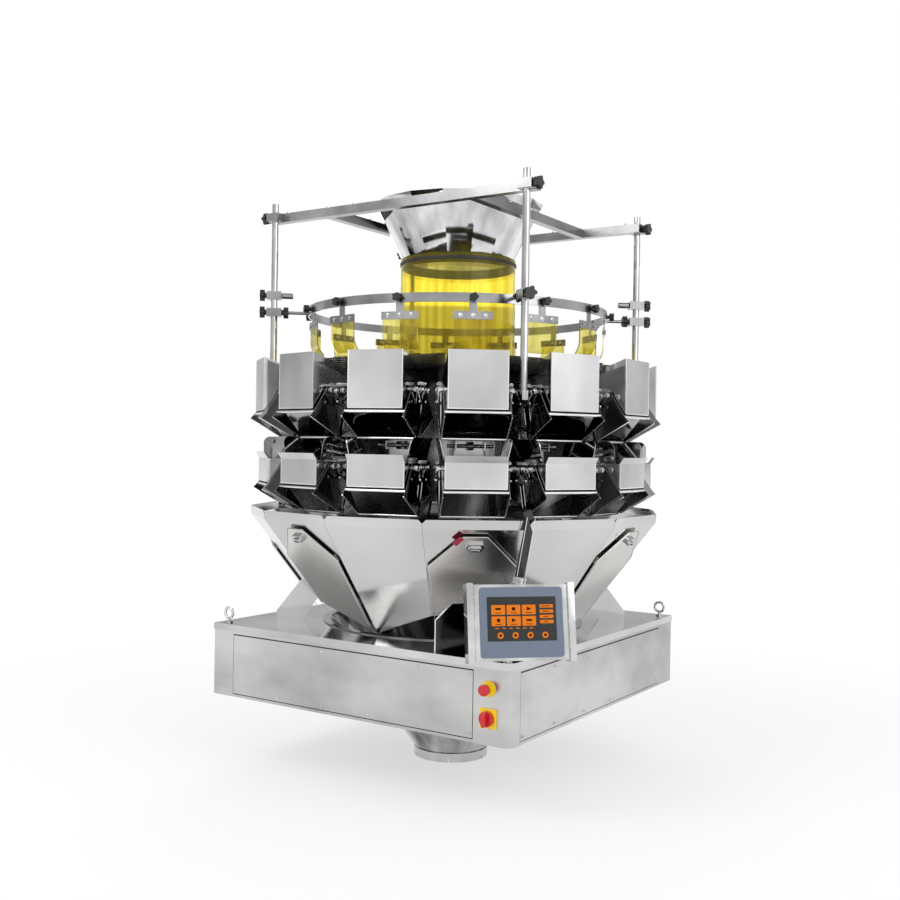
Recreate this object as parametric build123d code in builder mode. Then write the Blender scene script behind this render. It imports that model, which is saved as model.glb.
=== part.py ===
from build123d import *
import os
from math import atan2, cos, radians, sin, tan

# Fourteen-head combination weigher.
# Origin: centre of the underside of the base, +Z up. One head faces +X.
# The control corner of the base is at +X, -Y. All sizes in millimetres.

# ---------------------------------------------------------------- heads
head_count = 14
head_pitch = 360 / head_count
half_pitch = head_pitch / 2
first_front_head = -5  # the heads whose outer gates are bodies of their own
front_head_count = 7
fit_gap = 0.3  # between pieces that seat on each other
closing_gap = 1.0  # between a shut gate and what it closes

# ---------------------------------------------------------------- base
base_width = 1000
base_height = 205
lid_height = 18
sheet = 3
cover_sheet = 2
cover_height = 166
cover_length_wide = 810
cover_length_narrow = 850
cover_near_corner = 110  # clear of the control corner on the wide side
cover_near_corner_side = 45
corner_radius = 30
control_along_wide = 108
control_along_side = 44
throat_radius = 372  # product opening in the lid
eyebolt_inset = 30
eyebolt_wire = 8
eyebolt_ring = 15
eyebolt_shank = 16

# ---------------------------------------------------------------- outlet
outlet_top_radius = 238
outlet_radius = 108
outlet_drop = 175
collar_length = 25
collar_slots = 12
collar_slot_width = 3
collar_slot_height = 10
flange_width = 24  # rests on the floor of the base

# ---------------------------------------------------------------- chute
chute_foot_radius = 361
chute_fold_radius = 593
chute_fold_height = 519
lip_rise = 24
lip_flare = 3
lip_corner = 14
seam_gap = 0.6
corner_cut_start = 255
corner_cut_slope = 0.5
door_sheet = 3
door_standoff = 6
door_edge_inset = 4
door_top_half = 32
door_top_height = 505
door_shoulder_height = 425
door_foot_height = 216
post_angle = 1.5 * head_pitch
leg_sheet = 8
leg_foot_inner = 450
leg_foot_outer = 528
leg_heel = 25
leg_waist_radius = 452
leg_waist_height = 329
leg_width = 88
leg_top_width = 56
leg_setback = 4  # under the edge of the drum

# ---------------------------------------------------------------- drum and drives
drum_radius = 290
drum_bottom = 575
drum_top = 905
drum_crown = 12
drive_front = 404
drive_half_width = 44
drive_bottom = 596
drive_top = 905
hub_radius = 190
roller_height = 728
roller_reach = 20
roller_rod = 5
roller_rod_half = 62
roller_radius = 11
roller_half = 8
roller_bracket = 40  # half the distance over the two bracket plates

# ---------------------------------------------------------------- hoppers
feed_front = 592
feed_half_width = 76.5
feed_bottom = 820
feed_top = 969
feed_back_top = 905
weigh_front = 580
weigh_half_width = 80
weigh_bottom = 619
weigh_top = 686
weigh_lip_rise = 17
weigh_lip_flare = 12
deflector_inner = 430
deflector_outer = 566
deflector_rise = 61
deflector_flare = 14
deflector_corner = 20
hopper_sheet = 2.5
hopper_depth = 174
hook_spacing = 56
hook_width = 12
hook_height = 16
gate_run = 87
gate_drop = 75
gate_half_width = 86
gate_sheet = 2.5
gate_flange = 22
pivot_behind_front = 47
pivot_above_bottom = 50
pivot_radius = 5
pivot_boss_radius = 11
pin_clearance = 0.1
pin_head = 4

# ---------------------------------------------------------------- feeders
pan_inner = 196
pan_outer = 512
pan_inner_half = 39
pan_outer_half = 62
pan_floor = 958
pan_wall = 36
pan_fall = 6  # degrees, down towards the rim
vibrator_half = 30
vibrator_inner = 225
vibrator_outer = 375
cone_rise = 78
cone_lift = 2

# ---------------------------------------------------------------- infeed
tube_radius = 174
tube_wall = 4
tube_bottom = 992
tube_top = 1286
funnel_facets = 16
funnel_top_radius = 250
funnel_top = 1450
funnel_collar = 28
funnel_sheet = 2

# ---------------------------------------------------------------- flap ring
ring_radius = 449
ring_bottom = 1106
ring_height = 25
ring_sheet = 5
bracket_stem = 21
bracket_drop = 23
bracket_bar = 106
bracket_bar_height = 21
bracket_sheet = 3
bracket_pad = 2
flap_width = 100
flap_hang = 35
flap_sheet = 2.5
flap_curl_radius = 60
flap_curl = 50  # degrees

# ---------------------------------------------------------------- top frame
post_ring_radius = 550
post_radius = 10
post_bottom = 872
post_top = 1440
bar_side = 26
bar_centre = 1400
cross_bar_x = 248
arm_height = 24
arm_half = 8
clamp_length = 44
clamp_width = 30
clamp_height = 24
clamp_wall = 12
clamp_rod = 5
ring_clamp_level = 1118
sensor_level = 1168
sensor_radius = 9
sensor_length = 34
knob_radius = 16
knob_height = 14
knob_neck = 6
ring_knob_radius = 11

# ---------------------------------------------------------------- controls
hmi_width = 268
hmi_height = 190
hmi_depth = 34
hmi_inset = 35  # from the corner of the base, along the diagonal
hmi_shift = 23
hmi_tilt = 12
hmi_lift = -1
hmi_turn = -45  # degrees, the way it faces
hmi_rail = 16
hmi_rail_proud = 4
hmi_groove = 3
bezel_width = 206
bezel_height = 168
bezel_thickness = 4
screen_width = 172
screen_height = 106
screen_depth = 1.2
screen_rise = 8
stand_inset = 176
stand_half = 157
stand_height = 125
stand_corner = 43
stand_box_width = 90
stand_box_height = 44
stand_box_rise = 85  # over the eyebolt
conduit_side = 22
conduit_rise = 70
conduit_foot_inset = 73
conduit_foot_angle = -42.3  # degrees
conduit_top_angle = -39.4
conduit_height = 558
conduit_inset = 170
control_inset = 64
estop_z = 138
switch_z = 66
estop_disc_radius = 20
estop_disc_sheet = 2
estop_nut_radius = 13
estop_nut_height = 6
estop_gap = 5  # the button's stroke is 4
estop_stem_radius = 6
estop_head_radius = 14
estop_head_height = 12
switch_side = 48
switch_sheet = 4
switch_gap = 0.5
switch_disc_radius = 19
switch_disc_height = 10
switch_grip_length = 36
switch_grip_width = 12

post_angles = (post_angle, 180 - post_angle, 180 + post_angle, -post_angle)
sensor_angles = (post_angle, 180 + post_angle)


def radial(angle):
    """Upright plane through the axis: local x outwards, local y up."""
    a = radians(angle)
    return Plane(origin=(0, 0, 0), x_dir=(cos(a), sin(a), 0), z_dir=(sin(a), -cos(a), 0))


def polar(radius, angle):
    return (radius * cos(radians(angle)), radius * sin(radians(angle)))


def save(part, label):
    part.label = label
    export_step(part, f"parts/{label}.step")


os.makedirs("parts", exist_ok=True)


def facing(x, y, z, angle):
    """Upright plane facing outwards at an angle: local x to the left, local y up."""
    a = radians(angle)
    return Plane(origin=(x, y, z), x_dir=(-sin(a), cos(a), 0), z_dir=(cos(a), sin(a), 0))


# ================================================================ base
inner_side = base_width - 2 * cover_sheet
wall_height = base_height - lid_height
with BuildPart() as base_housing:
    with BuildSketch() as housing_outline:
        Rectangle(inner_side, inner_side)
        corner = housing_outline.vertices().group_by(Axis.X)[-1].sort_by(Axis.Y)[0]
        fillet(corner, corner_radius - cover_sheet)
    extrude(amount=wall_height)
    offset(amount=-sheet, openings=base_housing.faces().sort_by(Axis.Z)[-1])
    with BuildSketch():
        Circle(outlet_top_radius + sheet)
    extrude(amount=wall_height, mode=Mode.SUBTRACT)
save(base_housing.part, "base_housing")

with BuildPart() as base_lid:
    with BuildSketch(Plane.XY.offset(wall_height)) as lid_outline:
        Rectangle(base_width, base_width)
        corner = lid_outline.vertices().group_by(Axis.X)[-1].sort_by(Axis.Y)[0]
        fillet(corner, corner_radius)
    extrude(amount=lid_height)
    offset(amount=-sheet, openings=base_lid.faces().sort_by(Axis.Z)[0])
    with BuildSketch(Plane.XY.offset(wall_height)):
        Circle(throat_radius)
    extrude(amount=lid_height, mode=Mode.SUBTRACT)
save(base_lid.part, "base_lid")

cover_z = wall_height / 2
cover_face = inner_side / 2
wide_middle = base_width / 2 - cover_near_corner - cover_length_wide / 2
side_middle = -base_width / 2 + cover_near_corner_side + cover_length_narrow / 2
with BuildPart() as side_covers:
    with BuildSketch(facing(wide_middle, -cover_face, cover_z, -90)):
        Rectangle(cover_length_wide, cover_height)
    extrude(amount=cover_sheet)
    with BuildSketch(facing(cover_face, side_middle, cover_z, 0)):
        Rectangle(cover_length_narrow, cover_height)
    extrude(amount=cover_sheet)
    with BuildSketch(facing(0, cover_face, cover_z, 90), facing(-cover_face, 0, cover_z, 180)):
        Rectangle(cover_length_wide, cover_height)
    extrude(amount=cover_sheet)
save(side_covers.part, "side_covers")

with BuildPart() as control_corner:
    with BuildSketch() as corner_outline:
        with Locations((base_width / 2, -base_width / 2)):
            Rectangle(control_along_wide, control_along_side, align=(Align.MAX, Align.MIN))
        corner = corner_outline.vertices().group_by(Axis.X)[-1].sort_by(Axis.Y)[0]
        fillet(corner, corner_radius)
        with BuildSketch(mode=Mode.PRIVATE) as corner_core:
            Rectangle(inner_side, inner_side)
            corner = corner_core.vertices().group_by(Axis.X)[-1].sort_by(Axis.Y)[0]
            fillet(corner, corner_radius - cover_sheet)
        add(corner_core.sketch, mode=Mode.SUBTRACT)
    extrude(amount=wall_height)
save(control_corner.part, "control_corner")

eye_reach = base_width / 2 - eyebolt_inset
with BuildPart() as eyebolts:
    with Locations(Plane.XY.offset(base_height)):
        with GridLocations(2 * eye_reach, 2 * eye_reach, 2, 2):
            Cylinder(12, 4, align=(Align.CENTER, Align.CENTER, Align.MIN))
            Cylinder(eyebolt_wire / 2, eyebolt_shank, align=(Align.CENTER, Align.CENTER, Align.MIN))
    with Locations(Plane.XY.offset(base_height + eyebolt_shank + eyebolt_ring - eyebolt_wire / 2)):
        with GridLocations(2 * eye_reach, 2 * eye_reach, 2, 2):
            Torus(eyebolt_ring, eyebolt_wire / 2, rotation=(90, 0, 0))
save(eyebolts.part, "eyebolts")

# ================================================================ product path through the base
with BuildPart() as base_funnel:
    with BuildSketch(Plane.XZ):
        with BuildLine():
            Polyline(
                (throat_radius + 18, base_height),
                (throat_radius + 18, base_height + sheet),
                (throat_radius - sheet, base_height + sheet),
                (outlet_top_radius - sheet, 2 * sheet),
                (outlet_top_radius, 2 * sheet),
                (throat_radius, base_height),
                close=True,
            )
        make_face()
    revolve(axis=Axis.Z)
save(base_funnel.part, "base_funnel")

with BuildPart() as outlet_cone:
    with BuildSketch(Plane.XZ):
        with BuildLine():
            Polyline(
                (outlet_top_radius - sheet, 2 * sheet),
                (outlet_radius - sheet, -outlet_drop),
                (outlet_radius, -outlet_drop),
                (outlet_top_radius, sheet),
                (outlet_top_radius + flange_width, sheet),
                (outlet_top_radius + flange_width, 2 * sheet),
                close=True,
            )
        make_face()
    revolve(axis=Axis.Z)
save(outlet_cone.part, "outlet_cone")

with BuildPart() as outlet_collar:
    with BuildSketch(Plane.XY.offset(-outlet_drop - collar_length)):
        Circle(outlet_radius + sheet)
        Circle(outlet_radius - sheet, mode=Mode.SUBTRACT)
    extrude(amount=collar_length)
    with BuildSketch(Plane.XY.offset(-outlet_drop - collar_length)):
        with PolarLocations(outlet_radius, collar_slots):
            Rectangle(4 * sheet, collar_slot_width)
    extrude(amount=collar_slot_height, mode=Mode.SUBTRACT)
save(outlet_collar.part, "outlet_collar")

# ================================================================ collecting chute
chute_rise = chute_fold_height - base_height
chute_run = chute_fold_radius - chute_foot_radius
chute_slope = atan2(chute_rise, chute_run)
chute_base = base_height + sheet
facet_turn = half_pitch


def chute_apothem(z):
    return chute_foot_radius + (z - base_height) * chute_run / chute_rise


def ring_outline(apothem):
    return RegularPolygon(apothem, head_count, major_radius=False, rotation=facet_turn)


wall_offset = sheet / sin(chute_slope)
chute_size = chute_fold_radius * 1.2
with BuildPart() as corner_cut:
    with BuildSketch(radial(45)):
        with BuildLine():
            Polyline(
                (corner_cut_start, 0),
                (corner_cut_start, base_height + 1),
                (chute_size, base_height + corner_cut_slope * (chute_size - corner_cut_start)),
                (chute_size, 0),
                close=True,
            )
        make_face()
    extrude(amount=chute_size, both=True)

# A leg seen in its upright radial plane.
leg_profile = [
    (leg_foot_inner, base_height),
    (leg_foot_outer, base_height),
    (leg_foot_outer, base_height + leg_heel),
    (leg_waist_radius, leg_waist_height),
    (drum_radius - leg_setback, drum_bottom),
    (drum_radius - leg_setback - leg_top_width, drum_bottom),
    (leg_waist_radius - leg_width, leg_waist_height),
]


def legs(half_thickness):
    with BuildPart() as made:
        for angle in post_angles:
            with BuildSketch(radial(angle)):
                with BuildLine():
                    Polyline(*leg_profile, close=True)
                make_face()
            extrude(amount=half_thickness, both=True)
    return made.part


save(legs(leg_sheet / 2), "drum_legs")
leg_slots = legs(leg_sheet / 2 + fit_gap)

with BuildPart() as lip_notch:
    with BuildSketch(facing(chute_fold_radius - lip_rise, 0, chute_fold_height + lip_rise, 0)):
        Rectangle(lip_corner, lip_corner, rotation=45)
    extrude(amount=chute_fold_radius)

with BuildPart() as chute_panels:
    for inset, mode in ((0, Mode.ADD), (wall_offset, Mode.SUBTRACT)):
        with BuildSketch(Plane.XY.offset(chute_base)):
            ring_outline(chute_apothem(chute_base) - inset)
        with BuildSketch(Plane.XY.offset(chute_fold_height)):
            ring_outline(chute_fold_radius - inset)
        loft(mode=mode)
    for inset, mode in ((0, Mode.ADD), (sheet, Mode.SUBTRACT)):
        with BuildSketch(Plane.XY.offset(chute_fold_height)):
            ring_outline(chute_fold_radius - inset)
        with BuildSketch(Plane.XY.offset(chute_fold_height + lip_rise)):
            ring_outline(chute_fold_radius + lip_flare - inset)
        loft(mode=mode)
    with BuildSketch():
        with PolarLocations(chute_fold_radius, head_count, start_angle=half_pitch):
            Rectangle(chute_size, seam_gap)
    extrude(amount=chute_size, mode=Mode.SUBTRACT)
    with PolarLocations(0, head_count, start_angle=half_pitch):
        add(lip_notch.part, mode=Mode.SUBTRACT)
    with PolarLocations(0, 4):
        add(corner_cut.part, mode=Mode.SUBTRACT)
    add(leg_slots, mode=Mode.SUBTRACT)
save(chute_panels.part, "chute_panels")

half_turn = tan(radians(half_pitch))
slope_plane = Plane(
    origin=(chute_foot_radius, 0, base_height),
    x_dir=(0, 1, 0),
    z_dir=(sin(chute_slope), 0, -cos(chute_slope)),
)


def door_point(z, half):
    return (half, (z - base_height) / sin(chute_slope))


def door_half(z):
    return chute_apothem(z) * half_turn - door_edge_inset


door_corners = [
    door_point(door_foot_height, door_half(door_foot_height)),
    door_point(door_shoulder_height, door_half(door_shoulder_height)),
    door_point(door_top_height, door_top_half),
]
with BuildPart() as one_door:
    with BuildSketch(slope_plane.offset(door_standoff)):
        with BuildLine():
            Polyline(*door_corners, *[(-x, y) for x, y in reversed(door_corners)], close=True)
        make_face()
    extrude(amount=door_sheet)
    with BuildSketch(slope_plane):
        for z in (door_shoulder_height, base_height + 90):
            with Locations(door_point(z, door_half(z) - 30), door_point(z, 30 - door_half(z))):
                Rectangle(18, 24)
    extrude(amount=door_standoff)

with BuildPart() as chute_doors:
    with PolarLocations(0, head_count // 2):
        add(one_door.part)
    with PolarLocations(0, 4):
        add(corner_cut.part, mode=Mode.SUBTRACT)
    add(leg_slots, mode=Mode.SUBTRACT)
save(chute_doors.part, "chute_doors")

latch_plane = slope_plane.offset(door_standoff + door_sheet)
with BuildPart() as door_latches:
    with BuildSketch(latch_plane):
        with Locations(door_point(door_top_height - 22, 0)):
            RectangleRounded(44, 18, 6)
    extrude(amount=8)
    with BuildSketch(latch_plane.offset(8)):
        with Locations(door_point(door_top_height - 26, 0)):
            SlotOverall(34, 14)
            SlotOverall(24, 6, mode=Mode.SUBTRACT)
    extrude(amount=5)
with BuildPart() as door_latches_all:
    with PolarLocations(0, head_count // 2):
        add(door_latches.part)
save(door_latches_all.part, "door_latches")

# ================================================================ drum and drives
with BuildPart() as drum:
    with BuildSketch(Plane.XZ):
        with BuildLine():
            Polyline(
                (0, drum_bottom),
                (drum_radius, drum_bottom),
                (drum_radius, drum_top - drum_crown),
                (drum_radius - drum_crown, drum_top),
                (0, drum_top),
                close=True,
            )
        make_face()
    revolve(axis=Axis.Z)
save(drum.part, "drum")

with BuildPart() as one_drive:
    with BuildSketch(radial(0)):
        with BuildLine():
            Polyline(
                (drum_radius - 20, drive_bottom + 30),
                (drive_front - 30, drive_bottom),
                (drive_front, drive_bottom),
                (drive_front, drive_top - 40),
                (drive_front - 30, drive_top),
                (drum_radius - 20, drive_top),
                close=True,
            )
        make_face()
    extrude(amount=drive_half_width, both=True)
    fillet(one_drive.edges().filter_by(Axis.Z), 8)
    with BuildSketch():
        Circle(drum_radius)
    extrude(amount=drive_top * 2, mode=Mode.SUBTRACT)
    for side in (1, -1):
        with BuildSketch(radial(0).offset(side * roller_bracket)):
            with Locations((drive_front, roller_height)):
                Rectangle(roller_reach + roller_rod, 2 * roller_radius, align=(Align.MIN, Align.CENTER))
        extrude(amount=-side * sheet)
    for radius, half in ((roller_rod, roller_rod_half), (roller_radius, roller_half)):
        with BuildSketch(radial(0)):
            with Locations((drive_front + roller_reach, roller_height)):
                Circle(radius)
        extrude(amount=half, both=True)

with BuildPart() as drive_boxes:
    with PolarLocations(0, head_count):
        add(one_drive.part)
save(drive_boxes.part, "drive_boxes")

# ================================================================ hoppers


def hopper_outline(front, bottom, top, back_top):
    """Side outline of a hopper: square above, V below."""
    return [
        (front - hopper_sheet, top),
        (front - hopper_sheet, bottom),
        (front - gate_run, bottom - gate_drop + gate_sheet + 2 * closing_gap),
        (front - hopper_depth + hopper_sheet, bottom),
        (front - hopper_depth + hopper_sheet, back_top),
    ]


hoppers = (
    (feed_front, feed_half_width, feed_bottom, feed_top, feed_back_top),
    (weigh_front, weigh_half_width, weigh_bottom, weigh_top, weigh_top),
)
with BuildPart() as one_side_pair:
    for front, half_width, bottom, top, back_top in hoppers:
        for side in (1, -1):
            with BuildSketch(radial(0).offset(side * half_width)):
                with BuildLine():
                    Polyline(*hopper_outline(front, bottom, top, back_top), close=True)
                make_face()
            extrude(amount=-side * hopper_sheet)
with BuildPart() as hopper_sides:
    with PolarLocations(0, head_count):
        add(one_side_pair.part)
save(hopper_sides.part, "hopper_sides")

# Flared plates on the sides of each weigh hopper, which catch what the feed hopper drops.
flare = atan2(deflector_flare, deflector_rise)
with BuildPart() as one_deflector_pair:
    for side in (1, -1):
        plane = Plane(
            origin=(deflector_inner, side * weigh_half_width, weigh_top),
            x_dir=(1, 0, 0),
            z_dir=(0, -cos(flare), side * sin(flare)),
        )
        with BuildSketch(plane) as deflector_outline:
            length = deflector_outer - deflector_inner
            Rectangle(length, deflector_rise / cos(flare), align=(Align.MIN, Align.MIN))
            corner = deflector_outline.vertices().group_by(Axis.X)[-1].sort_by(Axis.Y)[-1]
            fillet(corner, deflector_corner)
        extrude(amount=side * hopper_sheet)
with BuildPart() as weigh_deflectors:
    with PolarLocations(0, head_count):
        add(one_deflector_pair.part)
save(weigh_deflectors.part, "weigh_deflectors")

with BuildPart() as one_front_pair:
    with BuildSketch(facing(feed_front - hopper_sheet, 0, feed_bottom, 0)):
        Rectangle(2 * feed_half_width, feed_top - feed_bottom, align=(Align.CENTER, Align.MIN))
    extrude(amount=hopper_sheet)
    with BuildSketch(radial(0)):
        with BuildLine():
            Polyline(
                (weigh_front - hopper_sheet, weigh_bottom),
                (weigh_front, weigh_bottom),
                (weigh_front, weigh_top),
                (weigh_front + weigh_lip_flare, weigh_top + weigh_lip_rise),
                (weigh_front + weigh_lip_flare - hopper_sheet, weigh_top + weigh_lip_rise),
                (weigh_front - hopper_sheet, weigh_top),
                close=True,
            )
        make_face()
    extrude(amount=weigh_half_width, both=True)
with BuildPart() as hopper_fronts:
    with PolarLocations(0, head_count):
        add(one_front_pair.part)
save(hopper_fronts.part, "hopper_fronts")

with BuildPart() as one_back_pair:
    for front, half_width, bottom, top, back_top in hoppers:
        back = front - hopper_depth
        with BuildSketch(facing(back, 0, bottom, 0)):
            Rectangle(2 * half_width, back_top - bottom, align=(Align.CENTER, Align.MIN))
        extrude(amount=hopper_sheet)
        for z in (bottom + hook_height, back_top - hook_height):
            with BuildSketch(facing(drive_front, 0, z, 0)):
                with GridLocations(hook_spacing, 1, 2, 1):
                    Rectangle(hook_width, hook_height)
            extrude(amount=back - drive_front)
with BuildPart() as hopper_backs:
    with PolarLocations(0, head_count):
        add(one_back_pair.part)
save(hopper_backs.part, "hopper_backs")

# A gate in the upright radial plane of its hopper, for a hopper front at x = 0, bottom at y = 0.
gate_slope = atan2(gate_drop, gate_run)
plate_foot = (closing_gap - gate_run, -gate_drop)
plate_top = (0, -closing_gap - gate_sheet)


def gate_plane(front, bottom, angle):
    plane = radial(angle)
    plane.origin = plane.from_local_coords(Vector(front, bottom, 0))
    return plane


def gate_corners(direction):
    """Foot and top of a gate's plate. direction is 1 for an outer gate, -1 for an inner one."""
    foot = Vector(direction * plate_foot[0], plate_foot[1])
    top = Vector(direction * plate_top[0], plate_top[1])
    normal = Vector(direction * sin(gate_slope), -cos(gate_slope))
    return foot, top, normal


def gate_plate(plane, direction):
    """The sloping floor of a gate, between its two arms."""
    foot, top, normal = gate_corners(direction)
    with BuildPart() as plate:
        with BuildSketch(plane):
            with BuildLine():
                Polyline(top, foot, foot + normal * gate_sheet, top + normal * gate_sheet, close=True)
            make_face()
        extrude(amount=gate_half_width - gate_sheet, both=True)
    return plate.part


def gate_arm(plane, direction, side):
    """One side of a gate, from its pivot down to the floor it carries."""
    foot, top, normal = gate_corners(direction)
    pivot = Vector(-direction * pivot_behind_front, pivot_above_bottom)
    boss = Vector(direction * pivot_boss_radius, 0)
    with BuildPart() as arm:
        with BuildSketch(plane.offset(side * gate_half_width)):
            with BuildLine():
                Polyline(
                    pivot - boss,
                    pivot + boss,
                    top,
                    top + normal * gate_flange,
                    foot + normal * gate_sheet,
                    foot,
                    close=True,
                )
            make_face()
            with Locations(pivot):
                Circle(pivot_boss_radius)
                Circle(pivot_radius + pin_clearance, mode=Mode.SUBTRACT)
        extrude(amount=-side * gate_sheet)
    return arm.part


def gate_planes(heads, set_back):
    """Planes of the gates of both rows at the given heads."""
    return [
        gate_plane(front - set_back, bottom, k * head_pitch)
        for front, half_width, bottom, top, back_top in hoppers
        for k in heads
    ]


front_heads = range(first_front_head, first_front_head + front_head_count)
rear_heads = range(first_front_head + front_head_count, first_front_head + head_count)
gate_names = [f"{row}_gate_{k - first_front_head + 1}" for row in ("feed", "weigh") for k in front_heads]
for plane, name in zip(gate_planes(front_heads, 0), gate_names):
    gate_pieces = [gate_plate(plane, 1), gate_arm(plane, 1, 1), gate_arm(plane, 1, -1)]
    with BuildPart() as gate:
        add(gate_pieces)
    save(gate.part, name)

rear_planes = gate_planes(rear_heads, 0)
inner_planes = gate_planes(range(head_count), hopper_depth)
rear_plates = [gate_plate(plane, 1) for plane in rear_planes]
with BuildPart() as rear_gates:
    add(rear_plates)
save(rear_gates.part, "rear_gates")

inner_plates = [gate_plate(plane, -1) for plane in inner_planes]
with BuildPart() as inner_gates:
    add(inner_plates)
save(inner_gates.part, "inner_gates")

rear_arms = [gate_arm(plane, 1, side) for plane in rear_planes for side in (1, -1)]
inner_arms = [gate_arm(plane, -1, side) for plane in inner_planes for side in (1, -1)]
with BuildPart() as fixed_gate_arms:
    add(rear_arms + inner_arms)
save(fixed_gate_arms.part, "fixed_gate_arms")

with BuildPart() as one_pin_set:
    for front, half_width, bottom, top, back_top in hoppers:
        for behind in (pivot_behind_front, hopper_depth - pivot_behind_front):
            for side in (1, -1):
                with BuildSketch(radial(0).offset(side * half_width)):
                    with Locations((front - behind, bottom + pivot_above_bottom)):
                        Circle(pivot_radius)
                extrude(amount=side * (gate_half_width - half_width + pin_head))
with BuildPart() as gate_pins:
    with PolarLocations(0, head_count):
        add(one_pin_set.part)
save(gate_pins.part, "gate_pins")

# ================================================================ feeders
with BuildPart() as top_cone:
    with BuildSketch(Plane.XZ):
        with BuildLine():
            Polyline(
                (0, drum_top),
                (60, drum_top),
                (60, pan_floor + cone_lift),
                (hub_radius, pan_floor + cone_lift),
                (hub_radius, pan_floor + cone_lift + sheet),
                (0, pan_floor + cone_lift + sheet + cone_rise),
                close=True,
            )
        make_face()
    revolve(axis=Axis.Z)
save(top_cone.part, "top_cone")

pan_length = pan_outer - pan_inner
pan_plane = Plane(
    origin=(pan_inner, 0, pan_floor),
    x_dir=(cos(radians(pan_fall)), 0, -sin(radians(pan_fall))),
    z_dir=(sin(radians(pan_fall)), 0, cos(radians(pan_fall))),
)
with BuildPart() as one_pan_floor:
    with BuildSketch(pan_plane.offset(-sheet)):
        with BuildLine():
            Polyline(
                (0, pan_inner_half),
                (pan_length, pan_outer_half),
                (pan_length, -pan_outer_half),
                (0, -pan_inner_half),
                close=True,
            )
        make_face()
    extrude(amount=sheet)
with BuildPart() as pan_floors:
    with PolarLocations(0, head_count):
        add(one_pan_floor.part)
save(pan_floors.part, "pan_floors")

with BuildPart() as one_pan_walls:
    for side in (1, -1):
        with BuildSketch(pan_plane):
            with BuildLine():
                Polyline(
                    (0, side * pan_inner_half),
                    (pan_length, side * pan_outer_half),
                    (pan_length, side * (pan_outer_half - sheet)),
                    (0, side * (pan_inner_half - sheet)),
                    close=True,
                )
            make_face()
        extrude(amount=pan_wall)
with BuildPart() as pan_walls:
    with PolarLocations(0, head_count):
        add(one_pan_walls.part)
save(pan_walls.part, "pan_walls")

with BuildPart() as one_vibrator:
    with BuildSketch(radial(0)):
        under = pan_floor - sheet / cos(radians(pan_fall)) - fit_gap
        fall = tan(radians(pan_fall))
        with BuildLine():
            Polyline(
                (vibrator_inner, drum_top),
                (drum_radius - drum_crown, drum_top),
                (drum_radius, drum_top),
                (vibrator_outer, drum_top),
                (vibrator_outer, under - (vibrator_outer - pan_inner) * fall),
                (vibrator_inner, under - (vibrator_inner - pan_inner) * fall),
                close=True,
            )
        make_face()
    extrude(amount=vibrator_half, both=True)
with BuildPart() as vibrators:
    with PolarLocations(0, head_count):
        add(one_vibrator.part)
save(vibrators.part, "vibrators")

# ================================================================ infeed
with BuildPart() as infeed_tube:
    with BuildSketch(Plane.XY.offset(tube_bottom)):
        Circle(tube_radius)
        Circle(tube_radius - tube_wall, mode=Mode.SUBTRACT)
    extrude(amount=tube_top - tube_bottom)
save(infeed_tube.part, "infeed_tube")

collar_radius = tube_radius - tube_wall - fit_gap
with BuildPart() as infeed_funnel:
    for inset, mode in ((0, Mode.ADD), (funnel_sheet, Mode.SUBTRACT)):
        with BuildSketch(Plane.XY.offset(tube_top)):
            RegularPolygon(collar_radius - 2 - inset, funnel_facets, major_radius=False)
        with BuildSketch(Plane.XY.offset(funnel_top)):
            RegularPolygon(funnel_top_radius - inset, funnel_facets, major_radius=False)
        loft(mode=mode)
save(infeed_funnel.part, "infeed_funnel")

with BuildPart() as funnel_collar_ring:
    with BuildSketch(Plane.XY.offset(tube_top - funnel_collar)):
        Circle(collar_radius)
        Circle(collar_radius - 2 - funnel_sheet, mode=Mode.SUBTRACT)
    extrude(amount=funnel_collar)
save(funnel_collar_ring.part, "funnel_collar")

# ================================================================ flap ring
with BuildPart() as flap_ring:
    with BuildSketch(Plane.XY.offset(ring_bottom)):
        Circle(ring_radius)
        Circle(ring_radius - ring_sheet, mode=Mode.SUBTRACT)
    extrude(amount=ring_height)
save(flap_ring.part, "flap_ring")

bracket_face = ring_radius - ring_sheet - bracket_sheet - bracket_pad
bar_bottom = ring_bottom - bracket_drop - bracket_bar_height
with BuildPart() as one_bracket:
    with BuildSketch(facing(bracket_face, 0, 0, 0)):
        with Locations((0, bar_bottom)):
            Rectangle(bracket_bar, bracket_bar_height, align=(Align.CENTER, Align.MIN))
            stem_top = ring_bottom + ring_height - bar_bottom
            Rectangle(bracket_stem, stem_top, align=(Align.CENTER, Align.MIN))
    extrude(amount=bracket_sheet)
    with BuildSketch(facing(bracket_face + bracket_sheet, 0, 0, 0)):
        with Locations((0, ring_bottom + ring_height / 2)):
            Circle(6)
    extrude(amount=bracket_pad - fit_gap)
with BuildPart() as flap_brackets:
    with PolarLocations(0, head_count):
        add(one_bracket.part)
save(flap_brackets.part, "flap_brackets")

with BuildPart() as one_flap:
    with BuildSketch(radial(0)):
        with BuildLine():
            face = bracket_face
            straight = Line((face, bar_bottom + bracket_bar_height), (face, bar_bottom - flap_hang))
            curl_centre = (face - flap_curl_radius, bar_bottom - flap_hang)
            curl = CenterArc(curl_centre, flap_curl_radius, 0, -flap_curl)
            offset(amount=-flap_sheet, side=Side.RIGHT)
        make_face()
    extrude(amount=flap_width / 2, both=True)
with BuildPart() as flaps:
    with PolarLocations(0, head_count):
        add(one_flap.part)
save(flaps.part, "flaps")

# ================================================================ top frame
post_points = [polar(post_ring_radius, angle) for angle in post_angles]
with BuildPart() as posts:
    with BuildSketch(Plane.XY.offset(post_bottom)):
        with Locations(*post_points):
            Circle(post_radius)
    extrude(amount=post_top - post_bottom)
save(posts.part, "posts")

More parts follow.
